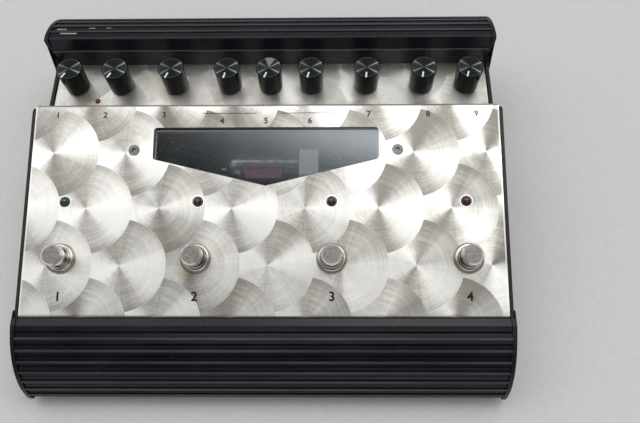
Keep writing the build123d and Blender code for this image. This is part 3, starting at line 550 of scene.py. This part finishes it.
def dress_nickel():
    """Nickel of the round nuts, with painted shade round their foot and inside their rim."""
    g = material("nickel")
    place = g.place()
    tarnish = g.patches(place, 300.0, *TARNISH_RANGE, detail=4.0, roughness=0.6)
    tint = g.lay(NICKEL, tarnish, NICKEL_TARNISH, TARNISH_STRENGTH)
    foot = g.ramp(g.dot(place, COVER_NORMAL), *(COVER_LEVEL + height for height in NUT_FOOT))
    radius = from_column(g, *on_cover(g, place), SWITCH_ROW)
    bore = g.ramp(radius, *(NUT_RADIUS - inward for inward in NUT_BORE))
    # Painted shade at the nuts' foot and inside their bore.
    tint = g.lay(tint, g.math("MAXIMUM", foot, bore), *NUT_FOOT_BORE_SHADE)
    g.set(Base_Color=tint, Roughness=g.between(tarnish, 0.20, 0.32), Metallic=1.0,
          Normal=g.bump(g.noise(place, 700.0), 0.004 * MM))
    return g.owner


CHROME_BRIGHT = (0.96, 0.95, 0.93)
CHROME_CLOUDED = (0.76, 0.74, 0.70)
STEM_DARKER = (0.24, 0.23, 0.20)
EDGE_LINE = ((0.05, 0.05, 0.05), 0.85)
WORN_DARK = (0.205, 0.185, 0.172)
WORN_LIGHT = (0.32, 0.292, 0.272)
WORN_SPECK = ((0.62, 0.60, 0.56), 0.7)
WORN_DEPTH = (0.12 * MM, 0.02 * MM)    # where it begins and is full, under the top face, like the next three
LINE_LOW = (1.75 * MM, 1.45 * MM)      # lower side of the dark line
LINE_HIGH = (0.85 * MM, 1.00 * MM)     # its upper side
STEM_DEPTH = (2.6 * MM, 4.6 * MM)


def worn_button():
    """Chrome with a worn, matt and speckled top face, a dark line under its chamfer and a darker stem."""
    g = material("worn_button")
    place = g.place()
    top = max(point.dot(COVER_NORMAL) for point in points_of("footswitch_1"))
    level = g.dot(place, COVER_NORMAL)
    worn, line_low, line_high, stem = (g.ramp(level, top - begin, top - full) for begin, full in (
        WORN_DEPTH, LINE_LOW, LINE_HIGH, STEM_DEPTH))
    blotch = g.noise(place, 650.0, 4.0, 0.7)
    matt = g.blend(g.ramp(blotch, 0.35, 0.68), WORN_DARK, WORN_LIGHT)
    matt = g.lay(matt, g.ramp(g.cells(place, 750.0), 0.26, 0.10), *WORN_SPECK)
    shine = g.blend(g.patches(place, 240.0, 0.5, 0.75, detail=3.0), CHROME_BRIGHT, CHROME_CLOUDED)
    shine = g.blend(stem, shine, STEM_DARKER)
    shine = g.lay(shine, g.mul(line_low, line_high), *EDGE_LINE)
    rough = g.add(g.mul(worn, 0.34), g.ramp(g.noise(place, 300.0, 3.0), 0.4, 0.8, 0.06, 0.13))
    g.set(Base_Color=g.blend(worn, shine, matt), Roughness=rough, Metallic=0.72,
          Normal=g.bump(g.mul(blotch, worn), 0.02 * MM))
    return g.owner


DISC_BLACK = (0.003, 0.006, 0.006)
DISC_HIGHLIGHT = (0.62, 0.67, 0.68)
# The streaks, their glow, the rim and the wedge below are painted highlights and reflections.
STREAK_COSINE = 0.48          # the streaks lie where the doubled angle's cosine is this
STREAK_WIDTH = 0.13
STREAK_TURN = 1.05            # turn of the streaks with a knob's place across, radians a metre
DISC_EDGE = (0.462, 0.476)    # of the disc's own width, where the painted rim highlight begins and is full
BRIGHTEST_TURN = 0.5          # from the side where the streaks are brightest
DULLEST = 0.42                # their share of light on the other side
WEDGE_TURN = 0.10             # how far the painted wedge of light leans off the rear
WEDGE_SINE = (0.84, 0.985)
MIDDLE_KNOB = 10 * MM         # only the middle knob is this near the case's middle


def knob_disc_metal():
    """Spun black metal with fine rings, and painted highlights: thin crossed streaks with a soft glow, a
    bright rim, and a wedge of light on the middle knob.
    """
    g = material("knob_disc_metal")
    x, y, _ = g.split(g.node("ShaderNodeTexCoord").outputs["Generated"])
    side = g.sub(x, 0.5)
    rise = g.sub(y, 0.5)
    angle = g.math("ARCTAN2", rise, side)
    radius = g.hypot(side, rise)
    across = g.split(g.place())[0]
    wave = g.math("COSINE", g.mul(g.add(angle, g.mul(across, STREAK_TURN)), 2.0))
    offset = g.absolute(g.sub(wave, STREAK_COSINE))
    brightest = g.ramp(g.math("COSINE", g.add(angle, BRIGHTEST_TURN)), -1.0, 1.0, DULLEST, 1.0)
    # Painted highlights: streaks brightest on one side, their soft glow, the rim and the middle knob's wedge.
    glint_streak = g.mul(g.ramp(offset, 0.0, STREAK_WIDTH, 1.0, 0.0), brightest)
    streak_glow = g.ramp(offset, 0.0, 0.8, 1.0, 0.0)
    rings = g.noise(g.vector(radius), 60.0, 3.0, 0.7)
    edge = g.ramp(radius, *DISC_EDGE)
    at_middle = g.math("LESS_THAN", g.absolute(across), MIDDLE_KNOB)
    wedge = g.mul(g.ramp(g.math("SINE", g.add(angle, WEDGE_TURN)), *WEDGE_SINE), at_middle)
    share = g.mul(glint_streak, 0.86)
    for light, strength in ((streak_glow, 0.07), (rings, 0.04), (edge, 0.08), (wedge, 0.34)):
        share = g.add(share, g.mul(light, strength))
    g.set(Base_Color=g.blend(share, DISC_BLACK, DISC_HIGHLIGHT), Roughness=g.between(rings, 0.30, 0.42),
          Metallic=0.8, Specular_IOR_Level=0.1, Normal=g.bump(rings, 0.008 * MM))
    return g.owner


LAMP_CROWN = (0.35 * MM, 1.0 * MM)     # above the cover, where the painted light in waves begins and is full
LAMP_WAVES = 0.42             # how far they come to the lighter colour
LAMP_ON_DECK = 0.8            # how far the small lamp on the deck comes to it


def clear_lamp(name, deep, light):
    """Tinted lamp, dark, with painted light in waves on its crown, and lighter still on the deck."""
    g = material(name)
    place = g.place()
    waves = g.noise(place, 700.0)
    crown = g.ramp(g.dot(place, COVER_NORMAL), *(COVER_LEVEL + height for height in LAMP_CROWN))
    # Painted light on the crown of the dome.
    gathered = g.mul(g.mul(g.ramp(waves, 0.35, 0.7), crown), LAMP_WAVES)
    gathered = g.add(gathered, g.mul(on_deck(g, place), LAMP_ON_DECK))
    g.set(Base_Color=g.blend(gathered, deep, light), Roughness=0.06, Specular_IOR_Level=0.5, Coat_Weight=1.0,
          Coat_Roughness=0.05, Normal=g.bump(waves, 0.008 * MM))
    return g.owner


LENS_DARK = (0.004, 0.005, 0.009)
LENS_PALE = (0.70, 0.77, 0.83)
LENS_EDGE = ((0.02, 0.024, 0.028), 0.85)   # paints with their strength
LENS_DUST = ((0.75, 0.76, 0.78), 0.4)
# painted highlight along the bevel
BEVEL_LIGHT = ((0.90, 0.93, 0.95), 0.85)
PALE_RANGE = (0.02, 0.94)
LENS_ALPHA = (0.10, 1.00, 0.30, 0.56)      # shares of the paler tint from and to, then how opaque the lens is at each
BEVEL_LINE_DROP = 1.7 * MM    # from the lens's top edge down to the painted highlight line along it
BEVEL_LINE_HALF = (0.34 * MM, 0.12 * MM)
EDGE_WIDTH = (0.75 * MM, 0.45 * MM)
HEAD_INSET = 1.0 * MM         # how far under the top edge the dark edge starts
SAME_FACE = 0.05 * MM         # points within this of the highest belong to the lens's top face
SIDE_MARGIN = 0.5 * MM        # points within this of the lens's right side belong to it


def lens_edges(g, place, paler):
    """Dark edge round the five-sided lens and a painted highlight line along the bevel at its top."""
    points = points_of("window_lens")
    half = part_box("window_lens")[1].x
    level = max(point.dot(COVER_NORMAL) for point in points)
    top_row = max(point.dot(UP_SLOPE) for point in points if point.dot(COVER_NORMAL) > level - SAME_FACE)
    shoulder = min(point.dot(UP_SLOPE) for point in points if point.x > half - SIDE_MARGIN)
    tip = min(point.dot(UP_SLOPE) for point in points)
    fall = (shoulder - tip) / half
    up = g.dot(place, UP_SLOPE)
    side = g.absolute(g.split(place)[0])
    from_side = g.sub(half, side)
    from_foot = g.mul(g.sub(up, g.add(g.mul(side, fall), tip)), 1 / math.sqrt(1 + fall * fall))
    from_head = g.sub(g.sub(top_row, up), HEAD_INSET)
    from_edge = g.math("MINIMUM", g.math("MINIMUM", from_side, from_foot), from_head)
    paler = g.lay(paler, g.ramp(from_edge, *EDGE_WIDTH), *LENS_EDGE)
    return g.lay(paler, g.band(up, top_row - BEVEL_LINE_DROP, *BEVEL_LINE_HALF), *BEVEL_LIGHT)


def smoked_acrylic():
    """Tinted sheet that grows paler and more opaque to the right and upward, with fine dust."""
    g = material("smoked_acrylic")
    place = g.place()
    low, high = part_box("window_lens")
    x, y, _ = g.split(place)
    rightward = g.ramp(x, low.x, high.x, smooth=False)
    rearward = g.ramp(y, low.y, high.y, smooth=False)
    corner = g.mul(rightward, g.add(g.mul(rearward, 0.85), 0.15))
    share = g.add(corner, g.add(g.mul(rearward, 0.14), g.sway(g.noise(place, 35.0), 0.14)))
    paler = lens_edges(g, place, g.blend(g.ramp(share, *PALE_RANGE), LENS_DARK, LENS_PALE))
    dust = g.specks(place, 520.0, 0.10, 0.04, g.patches(place, 70.0, 0.5, 0.6))
    smears = g.noise(g.stretch(place, (1, 4, 1)), 60.0, 3.0)
    g.set(Base_Color=g.lay(paler, dust, *LENS_DUST), Roughness=g.ramp(smears, 0.35, 0.75, 0.05, 0.13),
          Specular_IOR_Level=0.25, Alpha=g.ramp(share, *LENS_ALPHA))
    return g.owner


GLASS_CLEAR = (0.70, 0.74, 0.76)
GETTER = (0.40, 0.41, 0.43)
GLEAM = (0.96, 0.97, 0.98)
GLEAM_HALF = (1.1 * MM, 0.4 * MM)
GLASS_ALPHA = 0.08            # of the bare glass; the getter and the gleam add theirs
GETTER_ALPHA = 0.66
GLEAM_ALPHA = 0.80


def thin_glass():
    """Clear bulb glass with a silvery getter patch at its domed end and a painted highlight along its top."""
    g = material("tube_glass")
    place = g.place()
    x, y, z = g.split(place)
    low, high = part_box("tube_envelope")
    middle = (low + high) / 2
    lengthwise = g.ramp(x, low.x, high.x, smooth=False)
    getter = g.ramp(g.add(lengthwise, g.sway(g.noise(place, 260.0, 3.0), 0.10)), 0.30, 0.22)
    # Painted highlight along the top of the bulb, where it faces up.
    on_top = g.mul(g.band(y, middle.y, *GLEAM_HALF), g.math("GREATER_THAN", z, middle.z))
    gleam = g.mul(on_top, g.ramp(g.noise(place, 120.0, 3.0), 0.36, 0.58, 0.35, 1.0))
    colour = g.blend(gleam, g.blend(getter, GLASS_CLEAR, GETTER), GLEAM)
    alpha = g.add(g.add(g.mul(getter, GETTER_ALPHA), g.mul(gleam, GLEAM_ALPHA)), GLASS_ALPHA)
    g.set(Base_Color=colour, Alpha=g.math("MINIMUM", alpha, 1.0), Roughness=0.12, Metallic=g.mul(getter, 0.8),
          Normal=g.bump(g.noise(place, 180.0), 0.03 * MM))
    return g.owner


MASK_GREEN = (0.012, 0.085, 0.035)
TRACK_GREEN = (0.03, 0.17, 0.07)
TIN = (0.55, 0.55, 0.53)
TRACK_WAVES = 1300.0          # radians a metre from front to rear; half a wave is one track
TRACK_WANDER = 0.02


def circuit_board():
    """Green solder mask with faint wandering tracks and tinned pads."""
    g = material("circuit_board")
    place = g.place()
    wander = g.mul(g.noise(place, 55.0, 0.0), TRACK_WANDER)
    tracks = g.absolute(g.math("SINE", g.mul(g.add(g.split(place)[1], wander), TRACK_WAVES)))
    pads = g.ramp(g.cells(place, 300.0), 0.20, 0.14)
    tint = g.blend(pads, g.blend(g.ramp(tracks, 0.75, 0.9), MASK_GREEN, TRACK_GREEN), TIN)
    g.set(Base_Color=tint, Roughness=g.between(pads, 0.4, 0.28), Normal=g.bump(tracks, 0.02 * MM))
    return g.owner


def printed_ink(name, colour, lighter):
    """Screen-printed ink, slightly uneven and worn."""
    g = material(name)
    wear = g.noise(g.place(), 900.0, 3.0, 0.7)
    g.set(Base_Color=g.blend(g.ramp(wear, 0.45, 0.8), colour, lighter),
          Roughness=g.ramp(wear, 0.3, 0.7, 0.42, 0.6), Specular_IOR_Level=0.15)
    return g.owner


MATERIALS = {
    "swirl_steel": swirl_steel(),
    "rail_black": ribbed_rail(),
    "cap_plastic": satin("cap_plastic", (0.007, 0.007, 0.009), (0.013, 0.013, 0.015), 0.36, 1400.0, 0.01 * MM,
                         dust=0.4, shine=0.25),
    "side_black": satin("side_black", (0.012, 0.012, 0.014), (0.022, 0.022, 0.024), 0.40, 1100.0, 0.015 * MM,
                        dust=0.3, shine=0.3),
    "tray_paint": satin("tray_paint", (0.022, 0.022, 0.024), (0.034, 0.034, 0.036), 0.48, 1000.0, 0.03 * MM),
    "bracket_steel": plated("bracket_steel", (0.66, 0.65, 0.62), (0.48, 0.47, 0.45), 0.28),
    "screw_steel": plated("screw_steel", (0.20, 0.195, 0.175), (0.12, 0.115, 0.10), 0.40, blotch_scale=500.0),
    "screw_black": satin("screw_black", (0.018, 0.018, 0.018), (0.03, 0.03, 0.03), 0.35, 1500.0, 0.01 * MM,
                         metallic=0.6),
    "nickel": dress_nickel(),
    "chrome": plated("chrome", (0.72, 0.70, 0.66), (0.50, 0.48, 0.43), 0.14),
    "worn_button": worn_button(),
    "smoked_acrylic": smoked_acrylic(),
    "lamp_green": clear_lamp("lamp_green", (0.001, 0.022, 0.013), (0.03, 0.20, 0.125)),
    "lamp_red": clear_lamp("lamp_red", (0.016, 0.001, 0.003), (0.26, 0.018, 0.030)),
    "board_green": circuit_board(),
    "part_black": satin("part_black", (0.02, 0.02, 0.022), (0.035, 0.035, 0.04), 0.38, 900.0, 0.01 * MM),
    "tube_glass": thin_glass(),
    "electrode_metal": satin("electrode_metal", (0.34, 0.02, 0.10), (0.84, 0.36, 0.54), 0.45, 420.0,
                             0.03 * MM),
    "socket_ceramic": satin("socket_ceramic", (0.90, 0.95, 0.95), (0.95, 0.97, 0.97), 0.5, 800.0, 0.02 * MM),
    "jack_plastic": satin("jack_plastic", (0.02, 0.02, 0.02), (0.03, 0.03, 0.03), 0.4, 1200.0, 0.01 * MM),
    "foot_rubber": satin("foot_rubber", (0.018, 0.018, 0.018), (0.03, 0.03, 0.03), 0.8, 700.0, 0.04 * MM),
    "knob_plastic": satin("knob_plastic", (0.0025, 0.003, 0.003), (0.005, 0.0055, 0.006), 0.20, 1500.0,
                          0.006 * MM, dust=0.25, shine=0.11),
    "knob_disc": knob_disc_metal(),
    "shaft_metal": plated("shaft_metal", (0.7, 0.7, 0.7), (0.55, 0.55, 0.54), 0.25),
    "white_paint": printed_ink("white_paint", (0.93, 0.93, 0.92), (0.84, 0.84, 0.83)),
    "black_ink": printed_ink("black_ink", (0.012, 0.012, 0.013), (0.06, 0.06, 0.06)),
    "grey_ink": printed_ink("grey_ink", (0.030, 0.030, 0.032), (0.12, 0.118, 0.115)),
}
PLUNGERS = [f"footswitch_{k}" for k in range(1, SWITCHES + 1)]


def dress_nodes():
    """Each CAD node takes the finish that its record slot names, and the plungers the worn one."""
    for part in frame["record"]["subparts"]:
        look = "worn_button" if part["node"] in PLUNGERS else part["material_slot"]
        for slot in frame["nodes"][part["node"]].material_slots:
            slot.material = MATERIALS[look]


# ------------------------------------------------------------------ pieces made here
def finish_piece(piece, body, look):
    """Link a piece, give it its material and let it ride its body."""
    bpy.context.scene.collection.objects.link(piece)
    piece.data.materials.clear()
    piece.data.materials.append(MATERIALS[look])
    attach(piece, body)


def solid_from(name, outline, low, high):
    """Prism over a closed outline of (x, y) points."""
    mesh = bpy.data.meshes.new(name)
    bm = bmesh.new()
    face = bm.faces.new([bm.verts.new((x, y, low)) for x, y in outline])
    swept = bmesh.ops.extrude_face_region(bm, geom=[face])
    raised = [piece for piece in swept["geom"] if isinstance(piece, bmesh.types.BMVert)]
    bmesh.ops.translate(bm, vec=(0, 0, high - low), verts=raised)
    bmesh.ops.recalc_face_normals(bm, faces=bm.faces)
    bm.to_mesh(mesh)
    bm.free()
    return bpy.data.objects.new(name, mesh)


POINTER_WIDTH = 0.92 * MM
POINTER_START = 3.35 * MM     # from the knob's axis
POINTER_RIM_GAP = 0.25 * MM
POINTER_LOW = -0.30 * MM      # bottom and top of the paint, from the cap disc's top
POINTER_HIGH = 0.02 * MM
POINTER_SEGMENTS = 10


def pointer_angle(k):
    """Angle of a knob's slot from the front, read from the cut in its cap disc."""
    low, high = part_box(f"knob_disc_{k}")
    middle = (low + high) / 2
    inside = 0.1 * MM
    slot = Vector((0, 0))
    for point in points_of(f"knob_disc_{k}"):
        if low.z + inside < point.z < high.z - inside:
            slot += Vector((point.x - middle.x, point.y - middle.y))
    return math.atan2(-slot.x, -slot.y)


def pointer_lines():
    """White paint in each knob's pointer slot, rounded at its inner end."""
    half = POINTER_WIDTH / 2
    inner = -POINTER_START - half
    for k in range(1, KNOBS + 1):
        low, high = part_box(f"knob_{k}")
        outer = POINTER_RIM_GAP - (high.x - low.x) / 2
        outline = [(half, outer), (half, inner)]
        for i in range(1, POINTER_SEGMENTS):
            turn = math.pi * i / POINTER_SEGMENTS
            outline.append((half * math.cos(turn), inner + half * math.sin(turn)))
        outline += [(-half, inner), (-half, outer)]
        line = solid_from(f"pointer_{k}", outline, POINTER_LOW, POINTER_HIGH)
        middle = place_of(f"knob_{k}")
        axis = Matrix.Translation((middle.x, middle.y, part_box(f"knob_disc_{k}")[1].z))
        line.data.transform(axis @ Matrix.Rotation(-pointer_angle(k), 4, "Z"))
        finish_piece(line, f"knob_{k}", "white_paint")


INK_THICKNESS = 0.02 * MM
FIGURE_SHARE = 0.7            # height of a figure over the font's size
STROKE_SWELL = 0.04           # of a figure's height, added to each side of its strokes
CURVE_STEPS = 6


def printed(name, text, height, across, up, look):
    """A number printed on the cover, as a thin layer of ink."""
    curve = bpy.data.curves.new(name, "FONT")
    curve.body = text
    curve.align_x = "CENTER"
    curve.align_y = "CENTER"
    curve.size = height / FIGURE_SHARE
    curve.offset = STROKE_SWELL * height
    curve.extrude = INK_THICKNESS / 2
    curve.resolution_u = CURVE_STEPS
    flat = bpy.data.objects.new(name + "_curve", curve)
    mesh = bpy.data.meshes.new_from_object(flat)
    mesh.name = name
    bpy.data.objects.remove(flat)
    mesh.transform(COVER_FRAME @ Matrix.Translation((across, up, INK_THICKNESS / 2)))
    finish_piece(bpy.data.objects.new(name, mesh), "case", look)


KNOB_LABEL_HEIGHT = 3.1 * MM
OUTER_LABEL_ROW = 107.8 * MM
INNER_LABEL_ROW = 104.2 * MM  # the middle three knobs, under their group line
INNER_KNOBS = (4, 5, 6)
GROUP_LINE_ROW = 108.6 * MM
GROUP_LINE_WIDTH = 0.36 * MM
GROUP_LINES = ((-34.2 * MM, -4.9 * MM), (7.6 * MM, 37.4 * MM))
SWITCH_LABEL_ROW = 10.4 * MM
SWITCH_LABEL_HEIGHT = 4.6 * MM


def numbers():
    """Plain numbers under the knobs and the switches, and two rules over the middle knobs' numbers."""
    for k in range(1, KNOBS + 1):
        row = INNER_LABEL_ROW if k in INNER_KNOBS else OUTER_LABEL_ROW
        printed(f"knob_number_{k}", str(k), KNOB_LABEL_HEIGHT, place_of(f"knob_{k}").x, row, "grey_ink")
    for k, plunger in enumerate(PLUNGERS, 1):
        across = place_of(plunger).x
        printed(f"switch_number_{k}", str(k), SWITCH_LABEL_HEIGHT, across, SWITCH_LABEL_ROW, "black_ink")
    low, high = GROUP_LINE_ROW - GROUP_LINE_WIDTH / 2, GROUP_LINE_ROW + GROUP_LINE_WIDTH / 2
    for k, (left, right) in enumerate(GROUP_LINES, 1):
        outline = [(left, low), (right, low), (right, high), (left, high)]
        rule = solid_from(f"group_line_{k}", outline, 0, INK_THICKNESS)
        rule.data.transform(COVER_FRAME)
        finish_piece(rule, "case", "grey_ink")


# ------------------------------------------------------------------ stage, camera and light
CAMERA_PLACE = Vector((35.232, -180.597, 387.257)) * MM
CAMERA_RIGHT = Vector((0.99984882, 0.00538577, -0.0165329))
CAMERA_UP = Vector((0.002185, 0.90436804, 0.42674778))
PHOTO_WIDTH = 640
FOCAL_PIXELS = 701.326
SENSOR = 36.0
CLIP_NEAR = 0.01
CLIP_FAR = 50


def camera():
    """The photograph's camera, as solved from it."""
    data = bpy.data.cameras.new("camera")
    data.sensor_width = SENSOR
    data.lens = FOCAL_PIXELS / PHOTO_WIDTH * SENSOR
    data.clip_start = CLIP_NEAR
    data.clip_end = CLIP_FAR
    made = bpy.data.objects.new("camera", data)
    back = CAMERA_RIGHT.cross(CAMERA_UP)
    turn = Matrix((CAMERA_RIGHT, CAMERA_UP, back)).transposed().to_4x4()
    made.matrix_world = Matrix.Translation(CAMERA_PLACE) @ turn
    bpy.context.scene.collection.objects.link(made)
    bpy.context.scene.camera = made


LAMP_TARGET = Vector((0, 0, 0.04))
STUDIO_LAMPS = (              # name, place, width and length, watts
    ("key", (-0.60, 0.20, 1.20), (0.9, 0.7), 1.65),
    ("second", (0.24, 0.20, 1.22), (0.62, 0.50), 2.55),
    ("front", (0.1, -0.9, 1.15), (1.0, 0.35), 1.7),
)


def area_light(name, place, size, power):
    """Soft rectangular lamp that faces the case."""
    data = bpy.data.lights.new(name, "AREA")
    data.shape = "RECTANGLE"
    data.size, data.size_y = size
    data.energy = power
    made = bpy.data.objects.new(name, data)
    made.location = place
    made.rotation_mode = "QUATERNION"
    made.rotation_quaternion = (LAMP_TARGET - Vector(place)).to_track_quat("-Z", "Y")
    bpy.context.scene.collection.objects.link(made)


FLOOR_HALF = 14.0
PAPER = (0.74, 0.74, 0.73)
PAPER_LIGHTER = (0.77, 0.77, 0.76)


def floor():
    """Plain pale paper that runs out of sight."""
    g = material("floor_paper")
    fine = g.noise(g.place(), 300.0, 3.0)
    g.set(Base_Color=g.blend(g.ramp(fine, 0.3, 0.7), PAPER, PAPER_LIGHTER), Roughness=0.85)
    mesh = bpy.data.meshes.new("floor")
    corners = [(FLOOR_HALF * x, FLOOR_HALF * y, 0) for x, y in ((-1, -1), (1, -1), (1, 1), (-1, 1))]
    mesh.from_pydata(corners, [], [(0, 1, 2, 3)])
    mesh.materials.append(g.owner)
    made = bpy.data.objects.new("floor", mesh)
    bpy.context.scene.collection.objects.link(made)


SKY_HEIGHT = (0.05, 0.90, 0.26, 0.86)      # from and to in upward direction, then the light at each
SKY_REAR = (-0.22, 0.12, 0.32, 1.22)       # the same for rearward direction, as a factor
SKY_BACKDROP = (0.30, 0.64, 1.0, 0.70)     # dims the low rear, which the cover mirrors in low views
SKY_SEEN = 0.80                            # what the camera itself sees of it


def world():
    """Studio light that is strongest high up and a little to the rear."""
    g = Graph(bpy.data.worlds.new("studio"), "Background")
    _, y, z = g.split(g.node("ShaderNodeTexCoord").outputs["Generated"])
    rear = g.mul(g.ramp(y, *SKY_REAR, smooth=False), g.ramp(y, *SKY_BACKDROP, smooth=False))
    seen = g.node("ShaderNodeMix")
    g.plug(seen.inputs[0], g.node("ShaderNodeLightPath").outputs["Is Camera Ray"])
    g.plug_all(seen.inputs[2:4], (g.mul(g.ramp(z, *SKY_HEIGHT), rear), SKY_SEEN))
    g.set(Color=(1.0, 1.0, 1.0), Strength=seen.outputs[0])
    bpy.context.scene.world = g.owner


dress_nodes()
pointer_lines()
numbers()
floor()
world()
camera()
for lamp in STUDIO_LAMPS:
    area_light(*lamp)
bpy.context.scene.view_settings.view_transform = "Standard"
